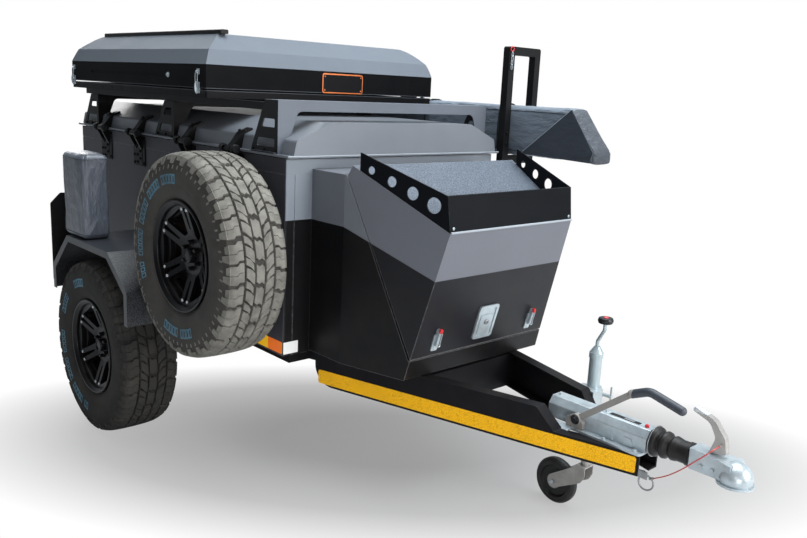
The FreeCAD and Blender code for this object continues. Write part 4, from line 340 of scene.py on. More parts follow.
def build_dust() -> None:
    """A mask of road dust: thicker low down and on faces that look up."""
    graph, given, out = new_group(Effect.DUST.value, {"Amount": 0.3, "Top": 1.2, "Scale": 9.0}, ["Mask"])
    where = graph.place()
    height = graph.axes(where)[2]
    low = graph.span(height, given["Top"], 0.0)
    upward = graph.axes(graph.add("NewGeometry").outputs["Normal"])[2]
    lying = graph.span(upward, 0.1, 1.0, 0.35, 1.0)
    patch = graph.span(graph.noise(where, given["Scale"], 8.0, 0.65), 0.36, 0.68)
    share = graph.times(graph.plus(graph.times(low, 0.7), 0.3), lying)
    graph.put(out["Mask"], graph.times(graph.times(share, patch), given["Amount"], clamp=True))


def build_grain() -> None:
    """The fine height of a sprayed or moulded surface."""
    graph, given, out = new_group(Effect.GRAIN.value, {"Scale": 600.0}, ["Height"])
    where = graph.place()
    fine = graph.noise(where, given["Scale"], 2.0, 0.5)
    coarse = graph.noise(where, graph.times(given["Scale"], 0.12), 3.0, 0.6)
    graph.put(out["Height"], graph.plus(graph.times(fine, 0.6), graph.times(coarse, 0.4)))


def build_weave() -> None:
    """The height of a plain weave of crossing threads."""
    graph, given, out = new_group(Effect.WEAVE.value, {"Threads": 1200.0}, ["Height"])
    across, along, up = graph.axes(graph.place())
    first = graph.math("SINE", graph.times(graph.plus(across, along), given["Threads"]))
    second = graph.math("SINE", graph.times(up, given["Threads"]))
    graph.put(out["Height"], graph.times(graph.math("MAXIMUM", first, second), 0.5))


def build_hammer() -> None:
    """The height of hammered paint, and the mask of its painted glints and painted shade: small smooth lumps
    that run together.
    """
    graph, given, out = new_group(Effect.HAMMER.value, {"Scale": 160.0}, ["Height", "Shade"])
    where = graph.place()
    cells = graph.add("TexVoronoi", feature="SMOOTH_F1")
    graph.put(cells.inputs["Vector"], where)
    graph.put(cells.inputs["Scale"], given["Scale"])
    cells.inputs["Smoothness"].default_value = 0.6
    lumps = graph.span(cells.outputs["Distance"], 0.1, 0.75)
    drift = graph.noise(where, graph.times(given["Scale"], 0.5), 3.0, 0.6)
    graph.put(out["Height"], graph.plus(graph.times(lumps, 0.7), graph.times(drift, 0.5)))
    # Shade is nought on the lumps' tops, where painted glints go, and one between them, where painted shade
    # goes.
    graph.put(out["Shade"], graph.span(lumps, 0.15, 0.7))


def build_crease() -> None:
    """The height of soft creases: ridged noise, long across the pull of the cloth."""
    graph, given, out = new_group(Effect.CREASE.value, {"Scale": 9.0, "Rise": 1.6}, ["Height"])
    ahead, left, up = graph.axes(graph.place())
    mapped = graph.add("CombineXYZ")
    parts = (graph.times(ahead, 0.6), left, graph.times(up, given["Rise"]))
    for socket, part in zip(mapped.inputs, parts):
        graph.put(socket, part)
    wave = graph.noise(mapped.outputs[0], given["Scale"], 5.0, 0.55)
    ridge = graph.math("ABSOLUTE", graph.math("SUBTRACT", wave, 0.5))
    fold = graph.math("SUBTRACT", 1.0, graph.times(ridge, 3.0), clamp=True)
    graph.put(out["Height"], graph.math("POWER", fold, 2.0))


EFFECT_BUILDERS = {
    Effect.CLOUD: build_cloud,
    Effect.WEAR: build_wear,
    Effect.DUST: build_dust,
    Effect.GRAIN: build_grain,
    Effect.WEAVE: build_weave,
    Effect.HAMMER: build_hammer,
    Effect.CREASE: build_crease,
}


@dataclass(frozen=True)
class Finish:
    """A surface finish: its colour, gloss, grain, rubbed edges and dust."""

    name: str
    colour: Colour
    roughness: float = 0.45
    metallic: float = 0.0
    specular: float = 0.5
    glow: float = 0.0
    coat: float = 0.0
    coat_roughness: float = 0.12
    sheen: float = 0.0
    mottle: float = 0.2
    mottle_scale: float = 5.0
    mottle_contrast: float = 1.6
    bump: float = 0.3
    bump_scale: float = 700.0
    bump_depth: float = 0.0004
    wear: float = 0.0
    wear_colour: Colour = (0.35, 0.35, 0.36)
    dust: float = 0.0
    dust_top: float = 1.2
    dust_colour: Colour = (0.30, 0.25, 0.19)

    def base(self, graph: Graph) -> object:
        """The colour before mottle, wear and dust."""
        return self.colour

    def height(self, graph: Graph) -> Socket:
        """The height that the bump follows."""
        return graph.group(Effect.GRAIN, "Height", scale=self.bump_scale)

    def material(self) -> bpy.types.Material:
        """Build the finish's material when it is first asked for.

        Returns:
            The Blender material.
        """
        made = bpy.data.materials.get(self.name)
        if made:
            return made
        made = bpy.data.materials.new(self.name)
        made.use_nodes = True
        graph = Graph(made.node_tree)
        shader = made.node_tree.nodes["Principled BSDF"]
        cloud = graph.group(Effect.CLOUD, "Value", scale=self.mottle_scale, contrast=self.mottle_contrast)
        colour = self.base(graph)
        shade = graph.span(cloud, 0.0, 1.0, 1.0 - self.mottle, 1.0 + self.mottle)
        colour = graph.mix(1.0, colour, shade, "MULTIPLY")
        rough = graph.span(cloud, 0.0, 1.0, self.roughness * 0.88, min(1.0, self.roughness * 1.14))
        if self.wear:
            mask = graph.group(Effect.WEAR, "Mask", amount=self.wear)
            colour = graph.mix(mask, colour, self.wear_colour)
        if self.dust:
            mask = graph.group(Effect.DUST, "Mask", amount=self.dust, top=self.dust_top)
            colour = graph.mix(mask, colour, self.dust_colour)
            rough = graph.plus(rough, graph.times(mask, 0.35), clamp=True)
        bump = graph.add("Bump")
        bump.inputs["Strength"].default_value = self.bump
        bump.inputs["Distance"].default_value = self.bump_depth
        graph.put(bump.inputs["Height"], self.height(graph))
        graph.put(shader.inputs["Base Color"], colour)
        graph.put(shader.inputs["Roughness"], rough)
        graph.put(shader.inputs["Normal"], bump.outputs[0])
        shader.inputs["Metallic"].default_value = self.metallic
        shader.inputs["Specular IOR Level"].default_value = self.specular
        if self.glow:
            graph.put(shader.inputs["Emission Color"], colour)
            shader.inputs["Emission Strength"].default_value = self.glow
        shader.inputs["Coat Weight"].default_value = self.coat
        shader.inputs["Coat Roughness"].default_value = self.coat_roughness
        shader.inputs["Sheen Weight"].default_value = self.sheen
        return made


@dataclass(frozen=True)
class TwoTonePaint(Finish):
    """Grey paint over black, parted at a height that falls along the nose; the faces to either side may take
    one dark colour of painted shade.
    """

    lower: Colour = (0.008, 0.008, 0.010)
    flank: Colour | None = None
    line_rear: Flat = (1180 * MM + AXLE_X, 1.101)
    line_front: Flat = (1600 * MM + AXLE_X, 0.951)

    def base(self, graph: Graph) -> Socket:
        """Grey above the paint line and black below it, with one dark colour of painted shade on the side
        faces where it is given.

        Args:
            graph: The graph of the material.

        Returns:
            The colour's socket.
        """
        ahead, _, up = graph.axes(graph.place())
        line = graph.span(ahead, self.line_rear[0], self.line_front[0], self.line_rear[1], self.line_front[1])
        paint = graph.mix(graph.above(up, line), self.lower, self.colour)
        if self.flank is None:
            return paint
        # Painted shade: the faces that look to the left or right take one dark colour.
        return graph.mix(graph.sideways(), paint, self.flank)


@dataclass(frozen=True)
class HatchPaint(TwoTonePaint):
    """The two paints of the nose, with hammered dark paint on the hatch's sloping top and pale painted glints
    on its lumps.
    """

    roof: Colour = (0.062, 0.075, 0.095)
    # Painted glints: the pale colour on the lumps' tops, standing in for reflected light.
    speck: Colour = (0.1798, 0.2175, 0.2755)
    roof_facing: float = 0.80
    lumps: float = 250.0
    lump_height: float = 9.0

    def roof_mask(self, graph: Graph) -> Socket:
        """One on the faces that look up, and nothing elsewhere."""
        return graph.above(graph.facing()[2], self.roof_facing)

    def base(self, graph: Graph) -> Socket:
        """The two paints, and the hammered paint on top with painted glints on its lumps."""
        # Painted glints: pale on the lumps' tops, the dark roof colour between them.
        roof = graph.mix(graph.group(Effect.HAMMER, "Shade", scale=self.lumps), self.speck, self.roof)
        return graph.mix(self.roof_mask(graph), super().base(graph), roof)

    def height(self, graph: Graph) -> Socket:
        """Smooth paint, with lumps on top."""
        lumps = graph.times(graph.group(Effect.HAMMER, "Height", scale=self.lumps), self.lump_height)
        return graph.plus(super().height(graph), graph.times(lumps, self.roof_mask(graph)))


@dataclass(frozen=True)
class HammeredPaint(Finish):
    """Paint with small hammered lumps; on faces that look ahead, pale painted glints on the lumps and painted
    shade between them.
    """

    lumps: float = 150.0
    # Painted glints on the lumps' tops, and painted shade between them, on faces that look ahead.
    speck: Colour | None = None
    between: Colour = (0.006, 0.006, 0.008)

    def base(self, graph: Graph) -> object:
        """The paint's colour, with painted glints and painted shade on the faces that look ahead.

        Args:
            graph: The graph of the material.

        Returns:
            The colour's socket.
        """
        if self.speck is None:
            return self.colour
        # Painted glints and painted shade go only on the faces that look ahead, toward the light.
        mask = graph.group(Effect.HAMMER, "Shade", scale=self.lumps)
        ahead = graph.span(graph.facing()[0], 0.3, 0.6)
        glints = graph.mix(mask, self.speck, self.between)
        return graph.mix(ahead, self.colour, glints)

    def height(self, graph: Graph) -> Socket:
        """The lumps' height."""
        return graph.group(Effect.HAMMER, "Height", scale=self.lumps)


@dataclass(frozen=True)
class SheetPaint(Finish):
    """Paint on folded sheet whose faces to either side take a dark colour of painted shade."""

    flank: Colour = (0.012, 0.012, 0.014)

    def base(self, graph: Graph) -> Socket:
        """Painted shade: a dark colour on the faces that look to the sides."""
        return graph.mix(graph.sideways(), self.colour, self.flank)


@dataclass(frozen=True)
class SplitFinish(Finish):
    """A finish that changes colour past a place along one axis."""

    axis: int = 0
    split: float = 0.0
    beyond: Colour = (0.012, 0.012, 0.012)

    def base(self, graph: Graph) -> Socket:
        """The colour before the place, and the other one beyond it."""
        part = graph.along(self.axis)
        return graph.mix(graph.above(part, self.split), self.colour, self.beyond)


@dataclass(frozen=True)
class LensPlastic(Finish):
    """A moulded lens with an amber outer third and fine upright ribs."""

    amber: Colour = (0.60, 0.16, 0.01)
    amber_from: float = 0.915
    rib_pitch: float = 0.004

    def base(self, graph: Graph) -> Socket:
        """Red inside and amber outside."""
        out = graph.math("ABSOLUTE", graph.along(1))
        return graph.mix(graph.above(out, self.amber_from), self.colour, self.amber)

    def height(self, graph: Graph) -> Socket:
        """Fine ribs across the lens."""
        return graph.math("SINE", graph.times(graph.along(1), FULL_TURN / self.rib_pitch))


@dataclass(frozen=True)
class BlockTape(Finish):
    """Reflective tape of blocks in two colours."""

    other: Colour = (0.78, 0.15, 0.008)
    block: float = 0.1
    shift: float = 0.034

    def base(self, graph: Graph) -> Socket:
        """Blocks in turn along the tape."""
        step = graph.math("FLOOR", graph.math("DIVIDE", graph.plus(graph.along(0), self.shift), self.block))
        return graph.mix(graph.math("MODULO", graph.math("ABSOLUTE", step), 2.0), self.colour, self.other)


@dataclass(frozen=True)
class HoneycombTape(Finish):
    """Reflective tape with a fine honeycomb under its clear face."""

    cell: float = 120.0
    cell_colour: Colour = (0.62, 0.30, 0.003)

    def base(self, graph: Graph) -> Socket:
        """Cells with walls of another colour.

        Args:
            graph: The graph of the material.

        Returns:
            The colour's socket.
        """
        cells = graph.add("TexVoronoi", feature="DISTANCE_TO_EDGE")
        graph.put(cells.inputs["Vector"], graph.place())
        cells.inputs["Scale"].default_value = self.cell
        wall = graph.span(cells.outputs["Distance"], 0.02, 0.14)
        return graph.mix(wall, self.cell_colour, self.colour)


@dataclass(frozen=True)
class WovenCloth(Finish):
    """A coated woven cloth with soft creases."""

    threads: float = 1500.0
    crease_scale: float = 7.0
    crease_height: float = 9.0
    crease_rise: float = 1.6
    weave_height: float = 0.15

    def height(self, graph: Graph) -> Socket:
        """Crossing threads with slow creases.

        Args:
            graph: The graph of the material.

        Returns:
            The height's socket.
        """
        weave = graph.group(Effect.WEAVE, "Height", threads=self.threads)
        crease = graph.group(Effect.CREASE, "Height", scale=self.crease_scale, rise=self.crease_rise)
        return graph.plus(graph.times(weave, self.weave_height),
                          graph.times(crease, self.crease_height))


@dataclass(frozen=True)
class AwningCloth(WovenCloth):
    """The awning bag's cloth, with a dark end."""

    end: Colour = (0.034, 0.042, 0.057)

    def base(self, graph: Graph) -> Socket:
        """The dark cloth on faces that look ahead."""
        return graph.mix(graph.span(graph.facing()[0], 0.3, 0.5), self.colour, self.end)


class Paint:
    """Every finish on the trailer, and the nodes that wear it."""

    # The body's sides take a dark colour of painted shade.
    body = TwoTonePaint(
        "body paint", (0.240, 0.268, 0.306), 0.40, specular=0.2, mottle=0.05, bump=0.1, wear=0.5, dust=0.06,
        lower=(0.004, 0.004, 0.005), flank=(0.062, 0.062, 0.073))
    nose = TwoTonePaint(
        "nose paint", (0.150, 0.160, 0.185), 0.42, specular=0.2, mottle=0.05, bump=0.1, wear=0.7, dust=0.08,
        lower=(0.004, 0.004, 0.005))
    # The hatch's top has painted glints on its lumps.
    hatch = HatchPaint(
        "nose hatch paint", (0.142, 0.149, 0.174), 0.40, specular=0.25, mottle=0.05, bump=0.16, wear=0.7,
        dust=0.08, lower=(0.008, 0.008, 0.011))
    lid = Finish(
        "lid paint", (0.170, 0.186, 0.212), 0.38, specular=0.3, coat=0.1, mottle=0.06, bump=0.1, wear=0.25,
        dust=0.06, dust_top=2.0)
    # The two finishes below colour thin tubes along edges and seams that are painted highlights.
    dull_edge = Finish("dull worn edge", (0.060, 0.066, 0.078), 0.4, mottle=0.15, bump=0.2)
    pale_edge = Finish("pale worn edge", (0.30, 0.33, 0.37), 0.4, mottle=0.15, bump=0.2)
    black = Finish(
        "black powder coat", (0.006, 0.006, 0.007), 0.42, specular=0.2, bump=0.25, wear=0.2,
        wear_colour=(0.06, 0.06, 0.06), dust=0.06)
    # The fenders' paint has painted glints and painted shade on the faces that look ahead.
    hammered = HammeredPaint(
        "hammered black paint", (0.030, 0.034, 0.043), 0.36, specular=0.4, bump=0.5, wear=0.3,
        wear_colour=(0.14, 0.14, 0.14), dust=0.10, lumps=340.0, speck=(0.085, 0.092, 0.105))
    tray = HammeredPaint(
        "black tray paint", (0.004, 0.005, 0.007), 0.45, specular=0.08, wear=0.4,
        wear_colour=(0.12, 0.125, 0.13), dust=0.03)
    chassis = Finish(
        "chassis paint", (0.006, 0.006, 0.008), 0.48, specular=0.12, mottle=0.25, wear=0.3,
        wear_colour=(0.07, 0.065, 0.06), dust=0.06)
    tyre = Finish(
        "tyre rubber", (0.020, 0.019, 0.019), 0.80, specular=0.25, mottle=0.3, mottle_scale=14.0, dust=0.2)
    tread = Finish(
        "tread rubber", (0.032, 0.032, 0.031), 0.85, specular=0.2, mottle=0.4, mottle_scale=22.0, dust=0.25)
    # The carried tyre's rubber and tread are paler than the road tyres' rubber.
    spare = Finish(
        "dusty tyre rubber", (0.058, 0.054, 0.050), 0.82, specular=0.2, mottle=0.4, mottle_scale=11.0,
        bump=0.4)
    dry_tread = Finish(
        "dry tread rubber", (0.165, 0.158, 0.141), 0.85, specular=0.2, mottle=0.5, mottle_scale=20.0,
        bump=0.5)
    mark = Finish("tyre marks", (0.07, 0.17, 0.235), 0.7, mottle=0.7, mottle_scale=9.0, bump=0.2)
    rim = Finish(
        "black wheel paint", (0.003, 0.003, 0.004), 0.32, specular=0.25, bump=0.08, wear=0.1, dust=0.05)
    rivet = Finish("polished rivet", (0.66, 0.68, 0.70), 0.3, metallic=0.3, mottle=0.1, bump=0.1)
    zinc = Finish(
        "bright zinc", (0.45, 0.51, 0.545), 0.30, metallic=0.45, mottle=0.25, mottle_scale=22.0, bump=0.25,
        bump_scale=300.0, wear=0.2, wear_colour=(0.7, 0.72, 0.75), dust=0.08)
    dull_zinc = Finish(
        "dull zinc", (0.33, 0.315, 0.30), 0.46, metallic=0.45, mottle=0.28, mottle_scale=18.0, bump=0.25,
        dust=0.2)
    steel = Finish(
        "dull steel", (0.30, 0.31, 0.32), 0.48, metallic=0.8, mottle=0.3, mottle_scale=20.0, dust=0.15)
    lever = SplitFinish(
        "handbrake lever", (0.28, 0.265, 0.25), 0.48, split=2242 * MM + AXLE_X,
        beyond=(0.040, 0.046, 0.060))
    handle = SplitFinish(
        "coupling handle", (0.40, 0.385, 0.37), 0.34, metallic=0.5, mottle=0.25, bump=0.25, axis=2,
        split=0.668, beyond=(0.62, 0.65, 0.68))
    jockey = SplitFinish(
        "jockey stand", (0.45, 0.53, 0.56), 0.36, metallic=0.5, bump=0.2, axis=2, split=0.793,
        beyond=(0.02, 0.021, 0.024))
    tent = SplitFinish(
        "tent shell paint", (0.003, 0.0035, 0.0045), 0.5, specular=0.05, mottle=0.05, bump=0.08, dust=0.04,
        dust_top=2.4, axis=2, split=1.685, beyond=(0.138, 0.157, 0.184))
    tent_tray = Finish("tent tray paint", (0.004, 0.004, 0.005), 0.4, specular=0.1, mottle=0.1, bump=0.1)
    # The portal's sides take a near-black colour of painted shade.
    portal = SheetPaint(
        "portal paint", (0.124, 0.140, 0.168), 0.4, specular=0.25, mottle=0.08, bump=0.15, wear=0.3,
        flank=(0.008, 0.008, 0.010))
    canvas = AwningCloth(
        "awning cloth", (0.150, 0.186, 0.232), 0.55, sheen=0.1, bump=0.5, bump_depth=0.0016)
    flap = WovenCloth(
        "awning flap", (0.038, 0.047, 0.063), 0.6, bump=0.35, bump_depth=0.0012, crease_height=5.0)
    vinyl = WovenCloth(
        "cover bag cloth", (0.092, 0.104, 0.130), 0.34, coat=0.1, mottle=0.3, bump=0.5, bump_depth=0.0022,
        dust=0.08, crease_scale=5.0, crease_rise=0.5)
    piping = Finish("pale piping", (0.33, 0.37, 0.42), 0.5, mottle=0.15)
    webbing = WovenCloth(
        "black webbing", (0.010, 0.010, 0.012), 0.7, mottle=0.12, bump=0.4, threads=2600.0,
        crease_height=0.5)
    rubber = Finish("black rubber", (0.008, 0.008, 0.009), 0.45, specular=0.3, dust=0.08)
    plastic = Finish("black plastic", (0.010, 0.010, 0.011), 0.48, specular=0.3, mottle=0.1)
    grey_plastic = Finish("grey plastic", (0.19, 0.20, 0.21), 0.5, mottle=0.1, bump=0.2)
    red = Finish("red plastic", (0.55, 0.012, 0.014), 0.35, coat=0.3, mottle=0.1, bump=0.15)
    # The white reflector and the yellow and block tapes glow though they are no lamps: painted light.
    white = Finish("white reflector", (0.80, 0.80, 0.79), 0.3, glow=0.15, coat=0.1, mottle=0.08, bump=0.2)
    orange = Finish("copper coloured metal", (0.62, 0.17, 0.05), 0.35, metallic=0.6, bump=0.15)
    tape = HoneycombTape(
        "yellow tape", (0.88, 0.46, 0.004), 0.36, specular=0.2, glow=0.20, mottle=0.08, bump=0.1)
    blocks = BlockTape("block tape", (0.84, 0.46, 0.008), 0.3, glow=0.35, coat=0.1, mottle=0.15, bump=0.1)
    lamp = LensPlastic("lamp lens", (0.35, 0.008, 0.006), 0.14, coat=0.6, mottle=0.05, bump=0.25)
    cable = Finish(
        "red coated wire", (0.44, 0.035, 0.030), 0.35, coat=0.4, mottle=0.15, mottle_scale=60.0, bump=0.15)

    wearers = (
        (body, "body_tub tailgate"), (nose, "nose_base"), (hatch, "nose_hatch"),
        (tyre, "tyre_right tyre_left"), (spare, "spare_tyre"), (rim, "rim_right rim_left spare_rim"),
        (chassis, "axle_beam leaf_springs chassis_frame drawbar_rail_right drawbar_rail_left drawbar_tie"),
        (chassis, "spare_carrier"), (hammered, "fender_right fender_left"), (tray, "stone_tray"),
        (black, "lamp_plates awning_hoop awning_cradle lid_hinge_leaves lid_hinge_arms tent_rails"),
        # portals_rear wears the black coat as painted shade: its faces lie in the tent's shadow.
        (black, "tailgate_hinges hatch_hinges tent_roof_bar portals_rear"), (portal, "portal_front"),
        (zinc, "coupling_housing coupling_head jockey_clamp hatch_latches"), (jockey, "jockey_tube"),
        (dull_zinc, "jockey_fork"), (lever, "handbrake_lever"), (handle, "coupling_handle"),
        (rubber, "coupling_bellows jockey_wheel"), (steel, "cable_ring"), (cable, "breakaway_cable"),
        (lamp, "tail_lamps"), (lid, "lid_shell"), (tent_tray, "tent_base"), (tent, "tent_shell"),
        (canvas, "awning_bag"), (vinyl, "cover_bag"))

    def dress(self) -> None:
        """Give every node of the frame its finish and softly rounded edges."""
        finishes = {name: finish for finish, names in self.wearers for name in names.split()}
        for name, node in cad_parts.items():
            finish = finishes[name]
            node.data.materials.clear()
            node.data.materials.append(finish.material())
            soften(node)
            LOG.info("node %s: %s", name, finish.name)


def smooth(piece: Piece, sharp: float | None = None) -> None:
    """Shade a piece smooth.

    Args:
        piece: The piece.
        sharp: The angle in degrees above which its edges stay sharp; with none, all are smooth.
    """
    for polygon in piece.data.polygons:
        polygon.use_smooth = True
    if sharp is not None:
        piece.data.set_sharp_from_angle(angle=math.radians(sharp))


def soften(piece: Piece) -> None:
    """Round a piece's sharp edges and shade the rest of it smooth.

    Args:
        piece: The piece.
    """
    smooth(piece, SHARP_ANGLE)
    bevel = piece.modifiers.new("rounded edges", "BEVEL")
    bevel.width = EDGE_WIDTH
    bevel.segments = 2
    bevel.limit_method = "ANGLE"
    bevel.angle_limit = math.radians(SHARP_ANGLE)
    bevel.harden_normals = True


@dataclass(frozen=True)
class Softbox:
    """A square soft lamp: its place, what it is turned to, its side, its power and its colour."""

    name: str
    place: Point
    aim: Point
    size: float
    power: float
    tint: Colour

    def build(self) -> None:
        """Set the lamp up."""
        data = bpy.data.lights.new(self.name, "AREA")
        data.shape = "SQUARE"
        data.size = self.size
        data.energy = self.power
        data.color = self.tint
        lamp = bpy.data.objects.new(self.name, data)
        bpy.context.scene.collection.objects.link(lamp)
        lamp.location = self.place
        lamp.rotation_euler = (Vector(self.aim) - Vector(self.place)).to_track_quat("-Z", "Y").to_euler()


@dataclass
class Studio:
    """The camera at the photograph's place, a pale floor and soft lamps."""

    eye: Vector = field(default_factory=lambda: at_axle(3606, -2379, 1628))
    yaw: float = 0.745
    pitch: float = 0.217
    roll: float = 0.048
    focal_pixels: float = 821.64
    frame_pixels: float = 807.0
    floor_colour: Colour = (0.55, 0.55, 0.55)
    shade_axes: tuple[Flat, Flat] = ((0.68, 0.74), (-0.735, 0.678))
    shade_middle: Flat = (0.15, -0.05)
    shade_reach: Flat = (2.4, 1.15)
    shade_near: Flat = (0.39, 0.56)
    shade_steps: Point = (0.25, 0.6, 0.9)
    glow_share: Flat = (0.75, 1.0)
    glow_from: float = 0.3
    floor_reach: float = 40.0
    sky_tint: Colour = (0.88, 0.95, 1.0)
    sky_span: Flat = (-0.95, 0.5)
    sky_light: Flat = (0.07, 0.64)
    sky_gloss: Flat = (0.12, 0.60)
    lamps: tuple[Softbox, ...] = (
        Softbox("front softbox", (6.0, 1.6, 2.6), (0.0, 0.0, 0.8), 3.5, 300.0, (1.0, 0.99, 0.97)),
        Softbox("top softbox", (0.8, 0.8, 6.0), (0.0, 0.0, 0.8), 5.0, 520.0, (0.90, 0.96, 1.0)),
        Softbox("rear softbox", (-6.5, 2.0, 3.4), (0.0, 0.0, 0.8), 4.0, 190.0, (1.0, 0.99, 0.98)),
        Softbox("side softbox", (4.6, -5.2, 2.4), (0.6, -0.4, 0.8), 2.6, 34.0, (1.0, 0.97, 0.94)),
        Softbox("hitch softbox", (4.4, -2.5, 0.5), (1.2, 0.0, 0.6), 1.4, 42.0, (0.97, 0.98, 1.0)))

    def camera(self) -> None:
        """Make the camera that matches the photograph."""
        ahead = Vector((-math.cos(self.yaw) * math.cos(self.pitch), math.sin(self.yaw) * math.cos(self.pitch),
                        -math.sin(self.pitch)))
        level = ahead.cross(UP).normalized()
        rise = level.cross(ahead)
        right = math.cos(self.roll) * level + math.sin(self.roll) * rise
        up = math.cos(self.roll) * rise - math.sin(self.roll) * level
        data = bpy.data.cameras.new("camera")
        data.sensor_width = 36.0
        data.lens = self.focal_pixels * data.sensor_width / self.frame_pixels
        camera = bpy.data.objects.new("camera", data)
        bpy.context.scene.collection.objects.link(camera)
        turn = Matrix((right, up, -ahead)).transposed().to_4x4()
        camera.matrix_world = Matrix.Translation(self.eye) @ turn
        bpy.context.scene.camera = camera

    def floor(self) -> None:
        """A wide floor whose soft shade lies across the view and fades to the white background."""
        shape, reach = Shape(), self.floor_reach
        shape.face([(-reach, -reach, 0), (reach, -reach, 0), (reach, reach, 0), (-reach, reach, 0)])
        finish = bpy.data.materials.new("floor")
        finish.use_nodes = True
        graph = Graph(finish.node_tree)
        shader = finish.node_tree.nodes["Principled BSDF"]
        ahead, left, _ = graph.axes(graph.place())
        parts = []
        for (along, across), middle, far in zip(self.shade_axes, self.shade_middle, self.shade_reach):
            part = graph.plus(graph.times(ahead, along), graph.times(left, across))
            away = graph.math("DIVIDE", graph.math("SUBTRACT", part, middle), far)
            parts.append(graph.times(away, away))
        distance = graph.math("SQRT", graph.plus(*parts))
        near, middle, far = self.shade_steps
        shade = graph.plus(graph.span(distance, near, middle, *self.shade_near),
                           graph.span(distance, middle, far, 0.0, 1.0 - self.shade_near[1]))
        shader.inputs["Base Color"].default_value = (*self.floor_colour, 1.0)
        shader.inputs["Roughness"].default_value = 0.9
        shader.inputs["Specular IOR Level"].default_value = 0.1
        glow = graph.add("Emission")
        graph.put(glow.inputs["Strength"], shade)
        blend = graph.add("MixShader")
        seen = graph.add("LightPath").outputs["Is Camera Ray"]
        share = graph.span(distance, self.glow_from, far, *self.glow_share)
        graph.put(blend.inputs[0], graph.times(seen, share))
        graph.tree.links.new(shader.outputs[0], blend.inputs[1])
        graph.tree.links.new(glow.outputs[0], blend.inputs[2])
        graph.tree.links.new(blend.outputs[0], graph.tree.nodes["Material Output"].inputs[0])
        shape.piece("floor", finish)

    def world(self) -> None:
        """A white world behind the trailer, and a softer one for its light that is dim on the right."""
        world = bpy.data.worlds.new("studio")
        bpy.context.scene.world = world
        world.use_nodes = True
        graph = Graph(world.node_tree)
        background = world.node_tree.nodes["Background"]
        rays = graph.add("LightPath")
        seen = graph.math("MAXIMUM", rays.outputs["Is Camera Ray"], rays.outputs["Is Transmission Ray"])
        left = graph.axes(graph.add("TexCoord").outputs["Generated"])[1]
        light = graph.span(left, *self.sky_span, *self.sky_light)
        gloss = graph.span(left, *self.sky_span, *self.sky_gloss)
        soft = graph.span(rays.outputs["Is Glossy Ray"], 0.0, 1.0, light, gloss)
        graph.put(background.inputs["Strength"], graph.span(seen, 0.0, 1.0, soft, 1.0))
        graph.put(background.inputs["Color"], graph.mix(seen, self.sky_tint, (1.0, 1.0, 1.0)))

    def build(self) -> None:
        """Set up the whole studio."""
        scene = bpy.context.scene
        scene.view_settings.view_transform = "Standard"
        self.camera()
        self.floor()
        self.world()
        for lamp in self.lamps:
            lamp.build()


# Mesh building


def look(point: Vector, out: Vector, across: Vector | None = None) -> Matrix:
    """A placement at a point.

    Args:
        point: Where it stands.
        out: The way that its own Z points.
        across: What its own X leans to; up, where none is given.

    Returns:
        The placement as a matrix.
    """
    out = out.normalized()
    guide = across or (UP if abs(out.z) < 0.9 else AHEAD)
    side = (guide - out * guide.dot(out)).normalized()
    return Matrix.Translation(point) @ Matrix((side, out.cross(side), out)).transposed().to_4x4()


def smooth_line(points: Sequence[Sequence[float]], steps: int) -> list[Vector]:
    """A smooth line through points.

    Args:
        points: The points that it passes through.
        steps: How many short runs replace each one.

    Returns:
        The points of the smooth line.
    """
    spots = [Vector(point) for point in points]
    last = len(spots) - 1
    line = []
    for index in range(last):
        a, b, c, d = (spots[min(max(index + move, 0), last)] for move in (-1, 0, 1, 2))
        for step in range(steps):
            share = step / steps
            line.append(0.5 * (2 * b + (c - a) * share + (2 * a - 5 * b + 4 * c - d) * share ** 2
                               + (3 * b - a - 3 * c + d) * share ** 3))
    return line + [spots[-1]]


def rounded_rectangle(wide: float, high: float, radius: float, steps: int = 4) -> list[Flat]:
    """An outline with rounded corners about the origin.

    Args:
        wide: Its width.
        high: Its height.
        radius: The radius of its corners.
        steps: The number of edges in each corner.

    Returns:
        The outline's points, against the clock.
    """
    outline = []
    for turn, (right, up) in enumerate(((1, 1), (-1, 1), (-1, -1), (1, -1))):
        centre = (right * (wide / 2 - radius), up * (high / 2 - radius))
        for step in range(steps + 1):
            angle = (turn + step / steps) * math.pi / 2
            outline.append((centre[0] + radius * math.cos(angle), centre[1] + radius * math.sin(angle)))
    return outline


def drawn_in(outline: Sequence[Flat], by: float) -> list[Flat]:
    """Move an outline inward.

    Args:
        outline: Its points, against the clock.
        by: How far it moves.

    Returns:
        The smaller outline.
    """
    moved = []
    count = len(outline)
    for index, here in enumerate(outline):
        before, after = Vector(outline[index - 1]), Vector(outline[(index + 1) % count])
        first, second = (Vector(here) - before).normalized(), (after - Vector(here)).normalized()
        normal = Vector((-first.y, first.x)) + Vector((-second.y, second.x))
        reach = max(normal.dot(normal) / 2, 0.2)
        moved.append(tuple(Vector(here) + normal * (by / reach)))
    return moved


def squarish(angle: float, power: float) -> Flat:
    """A point of a rounded square about the origin.

    Args:
        angle: The turn to the point.
        power: How round the square is, from 0 for sharp corners to 1 for a circle.

    Returns:
        The point, with each part from -1 to 1.
    """
    across, up = math.cos(angle), math.sin(angle)
    return math.copysign(abs(across) ** power, across), math.copysign(abs(up) ** power, up)


